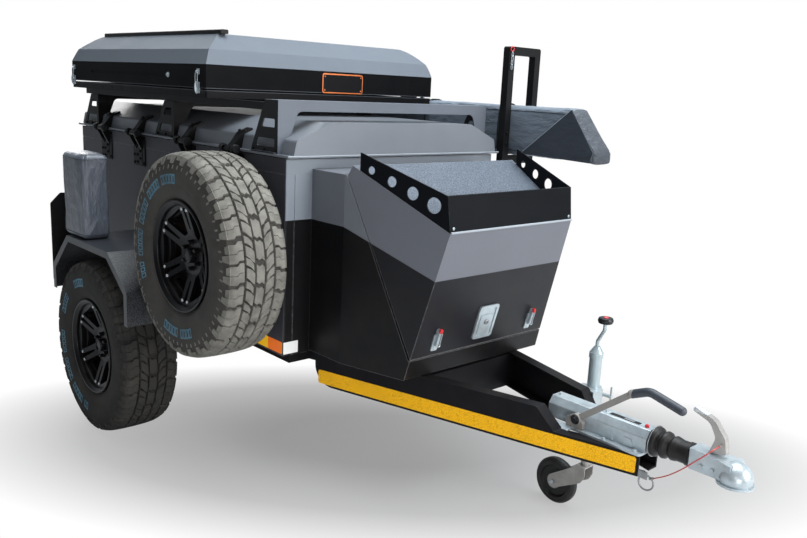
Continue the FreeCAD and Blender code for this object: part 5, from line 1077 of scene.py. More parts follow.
class Shape:
    """A mesh in the making, in the frame's axes."""

    def __init__(self) -> None:
        """Start an empty mesh."""
        self.mesh = bmesh.new()

    def ring(self, points: Iterable[Vector]) -> list[bmesh.types.BMVert]:
        """New vertices at points."""
        return [self.mesh.verts.new(point) for point in points]

    def face(self, points: Iterable[Point | Vector]) -> bmesh.types.BMFace:
        """One flat face through its corners."""
        return self.mesh.faces.new(self.ring(points))

    def bridge(self, first: list, second: list, closed: bool = True) -> None:
        """Join two rows of vertices by faces.

        Args:
            first: One row, or a single vertex.
            second: The other row, or a single vertex.
            closed: Whether each row's end is joined to its start.
        """
        count = max(len(first), len(second))
        for index in range(count if closed else count - 1):
            after = (index + 1) % count
            corners = [first[index % len(first)], first[after % len(first)],
                       second[after % len(second)], second[index % len(second)]]
            corners = list(dict.fromkeys(corners))
            if len(corners) > 2:
                self.mesh.faces.new(corners)

    def skin(self, rings: list[list], closed: bool = False) -> None:
        """Join each ring of vertices to the next one, and the last to the first where it is closed."""
        for first, second in zip(rings, rings[1:] + (rings[:1] if closed else [])):
            self.bridge(first, second)

    def turned(self, profile: Sequence[Flat], place: Matrix, steps: int = 24, closed: bool = False) -> None:
        """Turn a profile about an axis.

        Args:
            profile: Its points, each a radius and a height.
            place: The placement whose Z it turns about.
            steps: The number of steps round.
            closed: Whether the profile joins its end to its start.
        """
        rings = []
        for radius, height in profile:
            angles = turns(steps) if radius > 1e-7 else [0.0]
            rings.append(self.ring(place @ Vector((radius * math.cos(a), radius * math.sin(a), height))
                                   for a in angles))
        self.skin(rings, closed)

    def prism(self, outline: Sequence[Flat], place: Matrix, low: float, high: float,
              ease: float = 0.0) -> None:
        """Raise an outline.

        Args:
            outline: Its points, against the clock.
            place: The placement whose Z it rises along.
            low: Where it starts.
            high: Where it ends.
            ease: The width of the slope on its far edge.
        """
        levels = [(outline, low), (outline, high - ease)]
        if ease:
            levels.append((drawn_in(outline, ease), high))
        rings = [self.ring(place @ Vector((x, y, z)) for x, y in points) for points, z in levels]
        self.skin(rings)
        self.mesh.faces.new(rings[0][::-1])
        self.mesh.faces.new(rings[-1])

    def plate(self, size: Sequence[float], place: Matrix, low: float, high: float, ease: float = 0.0) -> None:
        """Raise a rounded rectangle of a width, a height and a corner's radius."""
        self.prism(rounded_rectangle(*size), place, low, high, ease)

    def tube(self, path: Sequence[Vector], radius: float | Sequence[float], sides: int = 10,
             closed: bool = False, flat: float = 1.0) -> None:
        """A round or flattened bar along a path.

        Args:
            path: The points of its middle line.
            radius: One radius, or one for each point.
            sides: The number of sides.
            closed: Whether it joins its end to its start.
            flat: Its thickness as a share of its width.
        """
        radii = [radius] * len(path) if isinstance(radius, (int, float)) else list(radius)
        rings, guide = [], None
        for index, point in enumerate(path):
            before = path[index - 1] if index or closed else point
            after = path[(index + 1) % len(path)] if index < len(path) - 1 or closed else point
            ahead = (after - before).normalized()
            if guide is None:
                guide = ahead.orthogonal() if abs(ahead.z) > 0.9 else UP
            guide = (guide - ahead * guide.dot(ahead)).normalized()
            other = ahead.cross(guide)
            rings.append(self.ring(point + radii[index] * (math.cos(a) * guide + flat * math.sin(a) * other)
                                   for a in turns(sides)))
        self.skin(rings, closed)
        if not closed:
            self.mesh.faces.new(rings[0][::-1])
            self.mesh.faces.new(rings[-1])

    def piece(self, name: str, finish: "Finish | bpy.types.Material") -> Piece:
        """Turn the mesh into an object.

        Args:
            name: The object's name.
            finish: Its finish, or its material.

        Returns:
            The object.
        """
        data = bpy.data.meshes.new(name)
        bmesh.ops.recalc_face_normals(self.mesh, faces=self.mesh.faces)
        self.mesh.to_mesh(data)
        self.mesh.free()
        made = bpy.data.objects.new(name, data)
        bpy.context.scene.collection.objects.link(made)
        data.materials.append(finish.material() if isinstance(finish, Finish) else finish)
        return made


class Seat:
    """Finds the surface of a node under a small piece."""

    trees: dict[str, BVHTree] = {}

    @classmethod
    def on(cls, node: str, start: Vector, way: Vector) -> tuple[Vector, Vector]:
        """Find the first point of a node's surface on a line.

        Args:
            node: The node's name.
            start: Where the line starts.
            way: The way that it runs.

        Returns:
            The point, and the normal there that looks back along the line.
        """
        if node not in cls.trees:
            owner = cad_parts[node]
            spots = [owner.matrix_world @ vertex.co for vertex in owner.data.vertices]
            faces = [tuple(face.vertices) for face in owner.data.polygons]
            cls.trees[node] = BVHTree.FromPolygons(spots, faces)
        point, normal, _, _ = cls.trees[node].ray_cast(start, way.normalized())
        if point is None:
            raise ValueError(f"{node} isn't met from {tuple(start)} along {way}")
        return point, -normal if normal.dot(way) > 0 else normal


class Fastener(Enum):
    """The heads that hold the trailer together."""

    BOLT = "hex bolt on a washer"
    RIVET = "domed rivet"
    SCREW = "pan screw with a socket"


class Kit:
    """The small pieces of one sub-assembly, gathered by finish and body into joined meshes."""

    screw: Line = ((1.0, 0.35), (0.85, 0.55), (0.45, 0.6), (0.4, 0.2), (0.0, 0.2))

    def __init__(self, label: str) -> None:
        """Start an empty kit with a label for its pieces' names."""
        self.label = label
        self.shapes: dict[tuple[Finish, str], Shape] = {}

    def on(self, finish: Finish, body: str = "trailer") -> Shape:
        """The mesh for a finish on a body."""
        return self.shapes.setdefault((finish, body), Shape())

    def fasten(self, point: Vector, out: Vector, size: float, finish: Finish, body: str = "trailer",
               kind: Fastener = Fastener.BOLT) -> None:
        """Add a fastener's head.

        Args:
            point: Where its underside lies.
            out: The way that it looks.
            size: Its radius in metres.
            finish: Its finish.
            body: The body that it rides on.
            kind: The kind of head.
        """
        shape, place = self.on(finish, body), look(point, out)
        if kind is Fastener.BOLT:
            washer, head = size * 0.16, size * 0.72
            shape.turned([(size, -0.0004), (size, washer), (0, washer)], place, 18)
            corners = [(size * 0.74 * math.cos(a), size * 0.74 * math.sin(a)) for a in turns(6)]
            shape.prism(corners, place, washer, head, size * 0.1)
        elif kind is Fastener.RIVET:
            dome = [(size * math.cos(a), size * 0.5 * math.sin(a)) for a in turns(20)[:5]]
            shape.turned([(size, -0.0004), *dome, (0, size * 0.5)], place, 14)
        else:
            profile = [(size * out, size * up) for out, up in self.screw]
            shape.turned([(size, -0.0004), *profile], place, 16)

    def seat(self, node: str, start: Vector, way: Vector, size: float, finish: Finish, body: str = "trailer",
             kind: Fastener = Fastener.BOLT) -> None:
        """Fasten a head to the first surface of a node on a line.

        Args:
            node: The node that it sits on.
            start: Where the line starts.
            way: The way that the line runs.
            size: The head's radius in metres.
            finish: The head's finish.
            body: The body that it rides on.
            kind: The kind of head.
        """
        point, normal = Seat.on(node, start, way)
        self.fasten(point, normal, size, finish, body, kind)

    def make(self) -> list[Piece]:
        """Turn what was gathered into pieces that ride on their bodies.

        Returns:
            The pieces.
        """
        made = []
        for (finish, body), shape in self.shapes.items():
            name = f"{self.label} {finish.name} {body}".replace(" ", "_")
            piece = shape.piece(name, finish)
            smooth(piece, 35.0)
            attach(piece, body)
            made.append(piece)
            LOG.info("piece %s: %d faces", name, len(piece.data.polygons))
        return made


# Wheels


@dataclass
class Tyre:
    """An all-terrain tyre whose tread is made of separate blocks."""

    name: str
    node: str
    body: str
    centre: Vector
    side: Side
    rubber: Finish
    crown: Finish
    pitches: int = 30
    steps: int = 150
    depth: float = 11.0
    half_section: Line = (
        (400.0, 0.0), (399.6, 30.0), (398.6, 60.0), (396.5, 85.0), (392.5, 103.0), (385.0, 113.0),
        (372.0, 119.5), (356.0, 125.0), (332.0, 129.5), (305.0, 130.6), (280.0, 129.0), (258.0, 125.0),
        (240.0, 119.0), (228.0, 112.0), (220.0, 106.0), (212.0, 101.5))
    shoulder_fade: Flat = (108.0, 122.0)
    lining: Line = ((206.0, 84.0), (232.0, 96.0), (284.0, 112.0), (340.0, 108.0), (372.0, 84.0), (378.0, 0.0))
    side_depth: float = 2.2
    uneven: float = 0.035
    tread_blocks: tuple[tuple[Point, ...], ...] = (
        ((66, 0.18, 0.585), (84, 0.18, 0.585), (92, 0.05, 0.455), (106, 0.05, 0.455), (117, 0.05, 0.455)),
        ((66, 0.605, 1.01), (84, 0.605, 1.01), (92, 0.475, 0.88), (106, 0.475, 0.88), (117, 0.475, 0.88)),
        ((23, 0.02, 0.50), (34, 0.10, 0.66), (46, 0.26, 0.74), (57, 0.36, 0.80)),
        ((27, 0.62, 0.90), (40, 0.80, 1.12), (58, 0.92, 1.24)))
    middle_block: tuple[Point, ...] = ((-17, 0.00, 0.78), (-5, 0.12, 0.90), (5, 0.05, 0.83), (17, 0.17, 0.95))
    lugs: tuple[tuple, ...] = (
        (4.6, (117, 0.05, 0.455), (130, 0.10, 0.455), (148, 0.16, 0.42)),
        (4.6, (117, 0.475, 0.88), (134, 0.50, 0.82)),
        (1.2, (154, 0.10, 0.20), (168, 0.14, 0.24)),
        (1.2, (154, 0.58, 0.68), (168, 0.62, 0.72)))
    mark_rows: Flat = (188.0, 225.0)
    mark_stroke: Flat = (6.0, 0.062)
    mark_wide: float = 0.30
    mark_spans: Line = ((-0.02, 2.10), (2.82, 3.60))

    def __post_init__(self) -> None:
        """Measure the half section and place the tyre."""
        self.line = [Vector(point) for point in smooth_line(self.half_section, 5)]
        self.reach = [0.0]
        for first, second in zip(self.line, self.line[1:]):
            self.reach.append(self.reach[-1] + (second - first).length)
        self.pitch = FULL_TURN * self.half_section[0][0] / self.pitches
        self.place = look(self.centre, self.side.out)

    def section(self, along: float) -> tuple[Vector, Vector]:
        """Follow the half section.

        Args:
            along: The distance along it in millimetres.

        Returns:
            The point there and its outward normal.
        """
        index = 0
        while index < len(self.reach) - 2 and self.reach[index + 1] < along:
            index += 1
        start, end = self.line[index], self.line[index + 1]
        share = (along - self.reach[index]) / (self.reach[index + 1] - self.reach[index])
        run = (end - start).normalized()
        return start + (end - start) * share, Vector((run.y, -run.x))

    def drift(self, pitch: int) -> float:
        """How far a pitch's blocks lie out of step, as a share of a pitch."""
        return self.uneven * math.sin(pitch * 2.4)

    def start(self, pitch: int, half: int) -> float:
        """Where a pitch's blocks start, in pitches, half a pitch later on the inner half."""
        return pitch + (0.0 if half > 0 else 0.5) + self.drift(pitch)

    def groove(self, along: float) -> float:
        """The depth of the tread's grooves.

        Args:
            along: The distance along the half section.

        Returns:
            The depth in millimetres.
        """
        low, high = self.shoulder_fade
        share = min(max((along - low) / (high - low), 0.0), 1.0)
        return self.depth * (1 - share) + self.side_depth * share if along < high + 1 else 0.0

    def spot(self, along: float, turn: float, sink: float, half: int) -> Vector:
        """A point on the tyre or sunk in it.

        Args:
            along: Its distance along the half section, below zero across the middle.
            turn: Its turn in pitches.
            sink: How deep it lies below the surface.
            half: 1 on the outer half of the tyre and -1 on the inner half.

        Returns:
            The point in the frame.
        """
        point, normal = self.section(abs(along))
        point = point - normal * sink
        wide = point.y * half * (-1 if along < 0 else 1)
        angle = turn * FULL_TURN / self.pitches
        return self.place @ (Vector((point.x * math.cos(angle), point.x * math.sin(angle), wide)) * MM)

    def patch(self, shape: Shape, rows: Sequence[tuple[float, float, float]], half: int, start: float,
              lift: float = 0.0, columns: int = 2) -> None:
        """A raised patch of rubber.

        Args:
            shape: The mesh that gets it.
            rows: Distance along the section, first turn and last turn, in millimetres and pitches.
            half: 1 on the outer half of the tyre and -1 on the inner half.
            start: The pitch that the turns are counted from.
            lift: Height above the surface; with none, the patch stands in the tread's grooves.
            columns: Runs round the tyre.
        """
        last = len(rows) - 1

        def grid(grow: float, share: float) -> list[list[Vector]]:
            """Rows of points, spread by a distance and sunk by a share of the depth."""
            made = []
            for index, (along, first, final) in enumerate(rows):
                along += grow if index == last else -grow if index == 0 else 0.0
                first, final = start + first - grow / self.pitch, start + final + grow / self.pitch
                sink = share * self.groove(abs(along)) if not lift else share * (lift + 0.6) - lift
                made.append([self.spot(along, first + (final - first) * step / columns, sink, half)
                             for step in range(columns + 1)])
            return made

        def border(points: list[list]) -> list:
            """The points round the edge of a grid."""
            return (points[0] + [row[-1] for row in points[1:-1]] + points[-1][::-1]
                    + [row[0] for row in points[-2:0:-1]])

        ease = 0.8 if not lift else 0.3
        top = [shape.ring(row) for row in grid(-ease, 0.0)]
        for first, second in zip(top, top[1:]):
            shape.bridge(first, second, closed=False)
        rims = [border(top)]
        rims += [shape.ring(border(grid(grow, share))) for grow, share in ((0.0, 0.1), (ease, 1.0))]
        shape.skin(rims)

    def tread(self, shape: Shape) -> None:
        """Five rows of blocks: stepped shoulders, slanted middle rows and chevrons.

        Args:
            shape: The mesh that gets them.
        """
        for pitch in range(self.pitches):
            for half in (1, -1):
                for rows in self.tread_blocks:
                    self.patch(shape, rows, half, self.start(pitch, half))
            self.patch(shape, self.middle_block, 1, pitch - self.drift(pitch))

    def side_lugs(self, shape: Shape) -> None:
        """The lugs that run from the shoulder down each side, long and short in turn.

        Args:
            shape: The mesh that gets them.
        """
        for pitch in range(self.pitches):
            for half in (1, -1):
                for lift, *rows in self.lugs:
                    self.patch(shape, rows, half, self.start(pitch, half), lift)

    def carcass(self, shape: Shape) -> None:
        """The tyre's body, from bead to bead, with its inside and the fine rings on its sides.

        Args:
            shape: The mesh that gets it.
        """
        total = self.reach[-1]
        outer = []
        for step in range(49):
            along = total * step / 48
            point, normal = self.section(along)
            outer.append((point - normal * self.groove(along)) * MM)
        lining = [Vector(spot) * MM for spot in self.lining]
        section = [(p.x, p.y) for p in outer + lining]
        mirror = [(radius, -wide) for radius, wide in reversed(section[1:-1])]
        shape.turned(section + mirror, self.place, self.steps, closed=True)
        for along in (141.0, 147.0, 226.0):
            point, normal = self.section(along)
            radius, wide = point * MM
            for half in (1, -1):
                bead = [(radius + 0.0013 * math.cos(a), half * (wide + 0.0008 * math.sin(a)))
                        for a in turns(6)]
                shape.turned(bead, self.place, self.steps, closed=True)

    def marks(self, shape: Shape) -> None:
        """Plain raised frames in arcs on the outer side.

        Args:
            shape: The mesh that gets them.
        """
        low, high = self.mark_rows
        for begin, end in self.mark_spans:
            first, last = (angle * self.pitches / FULL_TURN for angle in (begin, end))
            step = self.mark_wide * 1.22
            for index in range(int((last - first) / step)):
                if index % 6 == 5:
                    continue
                left = first + index * step
                right = left + self.mark_wide
                rim, stroke = self.mark_stroke
                for rows in ([(low, left, right), (low + rim, left, right)],
                             [(high - rim, left, right), (high, left, right)],
                             [(low + rim, left, left + stroke), (high - rim, left, left + stroke)],
                             [(low + rim, right - stroke, right), (high - rim, right - stroke, right)]):
                    self.patch(shape, rows, 1, 0.0, lift=1.2, columns=1)

    def build(self) -> None:
        """Make the tyre in the place of its node."""
        shape = Shape()
        self.carcass(shape)
        plain = len(shape.mesh.faces)
        self.side_lugs(shape)
        self.tread(shape)
        piece = shape.piece(self.name, self.rubber)
        piece.data.materials.append(self.crown.material())
        for polygon in piece.data.polygons:
            polygon.material_index = int(polygon.index >= plain)
        smooth(piece, 38.0)
        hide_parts(self.node)
        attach(piece, self.body)
        kit = Kit(self.name)
        self.marks(kit.on(Paint.mark, self.body))
        kit.make()
        LOG.info("tyre %s: %d faces", self.name, len(piece.data.polygons))


@dataclass
class RimDressing:
    """The rivets, nuts, cap and valve on a rim."""

    name: str
    body: str
    centre: Vector
    side: Side
    lip: float = 118.0
    rivet_radius: float = 181.0
    rivet_depth: float = 28.0
    rivet_size: float = 6.6
    spoke_pairs: int = 6
    spoke_angle: float = 6.1
    nut_circle: float = 52.0
    face_depth: float = 62.0
    cap_radius: float = 30.0

    def build(self) -> None:
        """Add every small piece on the rim's outer face."""
        kit = Kit(self.name)
        out = self.side.out
        place = look(self.centre, out, AHEAD)

        def on_face(radius: float, angle: float, depth: float) -> Vector:
            """A point at a radius and an angle, in from the rim's lip."""
            turn = math.radians(angle)
            return place @ (Vector((radius * math.cos(turn), radius * math.sin(turn), self.lip - depth)) * MM)

        for pair in range(self.spoke_pairs):
            middle = 30.0 + 60.0 * pair
            for way in (-1, 1):
                point = on_face(self.rivet_radius, middle + way * self.spoke_angle, self.rivet_depth)
                kit.fasten(point, out, self.rivet_size * MM, Paint.rivet, self.body, Fastener.SCREW)
            nut = on_face(self.nut_circle, middle, self.face_depth)
            kit.fasten(nut, out, 0.0125, Paint.rim, self.body)
            stub = [(0.0085, 0.0), (0.0085, 0.017), (0.005, 0.021), (0, 0.021)]
            kit.on(Paint.rim, self.body).turned(stub, look(nut, out), 12)
        size = self.cap_radius * MM
        cap = [(size, -0.001), (size, 0.016), (size * 0.92, 0.022), (size * 0.7, 0.0245),
               (size * 0.66, 0.0225), (0, 0.0235)]
        kit.on(Paint.rim, self.body).turned(cap, look(on_face(0.0, 0.0, self.face_depth), out), 32)
        valve = [(0.005, -0.012), (0.005, 0.014), (0.0038, 0.018), (0.0038, 0.026), (0, 0.027)]
        kit.on(Paint.rubber, self.body).turned(valve, look(on_face(176.0, 2.0, 34.0), out), 12)
        for piece in kit.make():
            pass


@dataclass
class RunningGear:
    """The three wheels and the springs' clips and bolts."""

    track_half: float = 868.0
    axle_high: float = 400.0
    spare_ahead: float = 764.0
    spare_out: float = 816.0
    spare_high: float = 957.0
    spring_out: float = 505.0
    spring_span_half: float = 430.0
    eye_high: float = 470.0
    eye_out: float = 38.0
    clip_ahead: float = 30.0
    clip_out: float = 27.0
    clip_up: Flat = (352.0, 486.0)
    road_marks: Line = ((0.10, 0.50), (0.85, 1.35), (1.55, 3.10))

    def build(self) -> None:
        """Make the wheels, and the U-bolts and shackle bolts of the springs."""
        for side in Side:
            centre = at_axle(0, self.track_half * side.value, self.axle_high)
            body = f"wheel_{side.word}"
            Tyre(f"road_tyre_{side.word}", f"tyre_{side.word}", body, centre, side, Paint.tyre,
                 Paint.tread, mark_spans=self.road_marks).build()
            RimDressing(f"rim_trim_{side.word}", body, centre, side).build()
        centre = at_axle(self.spare_ahead, -self.spare_out, self.spare_high)
        Tyre("carried_tyre", "spare_tyre", "trailer", centre, Side.RIGHT, Paint.spare,
             Paint.dry_tread).build()
        RimDressing("carried_rim_trim", "trailer", centre, Side.RIGHT).build()
        kit = Kit("spring_bolts")
        steel = kit.on(Paint.steel)
        for side in Side:
            middle = self.spring_out * side.value
            for end in (-1, 1):
                ahead = self.clip_ahead * end
                for way in Side:
                    left = middle + self.eye_out * way.value
                    kit.fasten(at_axle(self.spring_span_half * end, left, self.eye_high), way.out, 0.013,
                               Paint.steel)
                for way in Side:
                    left = middle + self.clip_out * way.value
                    steel.tube([at_axle(ahead, left, up) for up in self.clip_up], 0.006)
                    kit.fasten(at_axle(ahead, left, self.clip_up[0] + 10), DOWN, 0.011, Paint.steel)
                plate = look(at_axle(ahead, middle, self.clip_up[1] - 2), UP, LEFT)
                steel.plate((0.074, 0.018, 0.004), plate, 0.0, 0.008, 0.001)
        kit.make()


# Dressing of the body, nose, lid and tent


@dataclass(frozen=True)
class DrawbarRail:
    """The outer face of a drawbar rail, seen from above, in millimetres about the axle."""

    rear: Flat = (966.0, 420.0)
    front: Flat = (2290.0, 60.0)

    @property
    def fall(self) -> float:
        """How far out the face moves for each length ahead."""
        return (self.front[1] - self.rear[1]) / (self.front[0] - self.rear[0])

    def out(self, ahead: float) -> float:
        """The face's distance from the middle at a place along the trailer."""
        return self.rear[1] + self.fall * (ahead - self.rear[0])


@dataclass
class BodyDressing:
    """Reflective tape, and the bolts and screws of the fenders, lamps and drawbar rails."""

    half: float = 587.0
    front: float = 973.0
    tape_low: float = 556.0
    tape_high: float = 606.0
    side_tape: Flat = (660.0, 964.0)
    front_tape: Flat = (516.0, 586.0)
    tape_thick: float = 0.0007
    lamp_out: Flat = (776.0, 966.0)
    lamp_up: Flat = (660.0, 748.0)
    lamp_screw_inset: float = 10.0
    fender_bolts: tuple[float, ...] = (-214.0, 0.0, 214.0)
    fender_out: float = 606.0
    rail: DrawbarRail = DrawbarRail()
    rail_bolts: tuple[float, ...] = (1080.0, 1320.0, 1620.0, 1860.0)
    rail_bolt_inset: float = 22.0

    def build(self) -> None:
        """Add the tape, bolts and screws."""
        kit = Kit("body_trim")
        high = (self.tape_high - self.tape_low) * MM
        middle = (self.tape_high + self.tape_low) / 2
        for side in Side:
            wide = (self.side_tape[1] - self.side_tape[0]) * MM
            place = look(at_axle(sum(self.side_tape) / 2, self.half * side.value, middle),
                         side.out, AHEAD)
            kit.on(Paint.blocks).plate((wide, high, 0.003), place, -0.0002, self.tape_thick)
            wide = (self.front_tape[1] - self.front_tape[0]) * MM
            place = look(at_axle(self.front, sum(self.front_tape) / 2 * side.value, middle), AHEAD,
                         LEFT)
            kit.on(Paint.white).plate((wide, high, 0.003), place, -0.0002, self.tape_thick)
            for out in self.lamp_out:
                for up in self.lamp_up:
                    inward = math.copysign(self.lamp_screw_inset, sum(self.lamp_out) / 2 - out)
                    rise = math.copysign(self.lamp_screw_inset, sum(self.lamp_up) / 2 - up)
                    point = at_axle(-600, (out + inward) * side.value, up + rise)
                    kit.seat("tail_lamps", point, AHEAD, 0.0045, Paint.zinc, kind=Fastener.SCREW)
            for ahead in self.fender_bolts:
                left = self.fender_out * side.value
                kit.seat(f"fender_{side.word}", at_axle(ahead, left, 1100), DOWN, 0.010, Paint.steel)
            for ahead in self.rail_bolts:
                left = (self.rail.out(ahead) - self.rail_bolt_inset) * side.value
                kit.seat(f"drawbar_rail_{side.word}", at_axle(ahead, left, 300), UP, 0.011, Paint.steel)
        kit.make()


@dataclass
class RailTape:
    """Yellow tape along the outer faces of the drawbar rails."""

    rail: DrawbarRail = DrawbarRail()
    span: Flat = (984.0, 2281.0)
    up: Flat = (406.0, 464.0)
    corner: float = 0.009
    thick: float = 0.0008

    def build(self) -> None:
        """Lay the tape on both rails."""
        kit = Kit("rail_tape")
        ahead, fall = sum(self.span) / 2, self.rail.fall
        long = (self.span[1] - self.span[0]) * math.hypot(1, fall) * MM
        outline = rounded_rectangle(long, (self.up[1] - self.up[0]) * MM, self.corner)
        for side in Side:
            along = Vector((1, fall * side.value, 0)).normalized()
            normal = Vector((-along.y, along.x, 0)) * side.value
            place = look(at_axle(ahead, self.rail.out(ahead) * side.value, sum(self.up) / 2), normal, along)
            kit.on(Paint.tape).prism(outline, place, -0.0006, self.thick)
        kit.make()


@dataclass
class NoseDressing:
    """The hatch's toggles, lock and tray screws, and a painted highlight along its tip."""

    toggle_out: float = 272.0
    tip: Flat = (1636.0, 1137.0)
    tip_half: float = 345.0
    lock_out: float = -12.0
    tray_half: float = 330.0

    def build(self) -> None:
        """Add red caps and wire loops, a lock barrel, bolts, and a pale tube below the tray that is a painted
        highlight on the hatch's tip.
        """
        kit = Kit("nose_trim")
        body = "nose_hatch"
        for out in (-self.toggle_out, self.toggle_out):
            crown, _ = Seat.on("hatch_latches", at_axle(1900, out, 745), BACK)
            cap = [(0.008, -0.004), (0.0085, 0.006), (0.0065, 0.010), (0, 0.0115)]
            kit.on(Paint.red, body).turned(cap, look(crown, Vector((0.35, 0, 1))), 16)
            low, _ = Seat.on("hatch_latches", at_axle(1900, out, 690), BACK)
            loop = [start + Vector(spot) for start, spot in (
                (crown, (0.002, -0.008, -0.008)), (low, (0.006, -0.009, 0.01)),
                (low, (0.007, -0.005, -0.004)), (low, (0.007, 0.005, -0.004)),
                (low, (0.006, 0.009, 0.01)), (crown, (0.002, 0.008, -0.008)))]
            kit.on(Paint.zinc, body).tube(smooth_line(loop, 5), 0.0017, 8)
            for up in (668, 726):
                kit.seat("hatch_latches", at_axle(1900, out, up), BACK, 0.003, Paint.dull_zinc, body,
                         Fastener.RIVET)
        lock, face = Seat.on("hatch_latches", at_axle(1900, self.lock_out, 742), BACK)
        barrel = [(0.011, -0.001), (0.011, 0.005), (0.009, 0.007), (0, 0.007)]
        kit.on(Paint.steel, body).turned(barrel, look(lock, face), 20)
        slot = look(lock + face * 0.0068, face)
        kit.on(Paint.plastic, body).plate((0.010, 0.0022, 0.001), slot, 0.0, 0.0006)
        # A painted highlight along the hatch's tip.
        edge = [at_axle(self.tip[0] + 1, out, self.tip[1] + 2) for out in (-self.tip_half, self.tip_half)]
        kit.on(Paint.pale_edge, body).tube(edge, 0.0042, 8)
        for out in (-self.tray_half, self.tray_half):
            kit.seat("stone_tray", at_axle(1900, out, 1154), BACK, 0.0055, Paint.zinc, body, Fastener.SCREW)
        kit.make()


@dataclass
class LidDressing:
    """The bolts and knobs of the lid's hinges, a painted highlight along the lid's lip and the portals'
    bolts.
    """

    hinges: tuple[float, ...] = (-690.0, -300.0, 205.0, 610.0)
    leaf_bolts: Line = ((-16.0, 1290.0), (15.0, 1262.0), (-16.0, 1243.0), (15.0, 1226.0), (-16.0, 1206.0))
    plate_bolts: Line = ((-48.0, 1318.0), (-48.0, 1280.0), (-48.0, 1242.0), (-48.0, 1204.0), (50.0, 1318.0),
                         (50.0, 1204.0))
    plate: Point = (124.0, 1188.0, 1334.0)
    side_half: float = 587.0
    plate_thick: float = 5.5
    rim_front: float = 1003.0
    rim_half: float = 598.0
    rim_up: float = 1349.5
    portal_feet: tuple[tuple[str, tuple[float, ...]], ...] = (
        ("portal_front", (740.0, 820.0, 895.0)), ("portals_rear", (-955.0, -880.0, -100.0, -22.0)))
    foot_up: float = 1364.0
    knob: Line = ((0.012, -0.004), (0.0185, -0.002), (0.0195, 0.003), (0.0195, 0.012), (0.0165, 0.0165),
                  (0.0, 0.018))

    def build(self) -> None:
        """Add every bolt, the knobs and the lip's painted highlight."""
        kit = Kit("lid_trim")
        for ahead in self.hinges:
            for move, up in self.leaf_bolts:
                kit.seat("lid_hinge_leaves", at_axle(ahead + move, -760, up), LEFT, 0.0085, Paint.black)
            wide, low, high = self.plate
            place = look(at_axle(ahead, -self.side_half, (low + high) / 2), RIGHT, AHEAD)
            kit.on(Paint.black).plate((wide * MM, (high - low) * MM, 0.010), place, -0.0003,
                                      self.plate_thick * MM, 0.001)
            for move, up in self.plate_bolts:
                point = at_axle(ahead + move, -self.side_half - self.plate_thick, up)
                kit.fasten(point, RIGHT, 0.0085, Paint.black)
            for move in (-19, 19):
                kit.seat("lid_hinge_arms", at_axle(ahead + move, -560, 1560), DOWN, 0.008, Paint.black, "lid")
                knob = look(at_axle(ahead + 2.2 * move, -622, 1352), Vector((math.copysign(1, move), 0, 0)))
                kit.on(Paint.plastic).turned(self.knob, knob, 24)
        # A painted highlight along the lid's front lip.
        lip = [at_axle(self.rim_front - 1.5, out, self.rim_up + 2) for out in (-self.rim_half, self.rim_half)]
        kit.on(Paint.pale_edge, "lid").tube(lip, 0.0035, 8)
        for node, feet in self.portal_feet:
            for ahead in feet:
                for side in Side:
                    kit.seat(node, at_axle(ahead, 760 * side.value, self.foot_up), side.inward, 0.008,
                             Paint.black, "lid")
        kit.make()


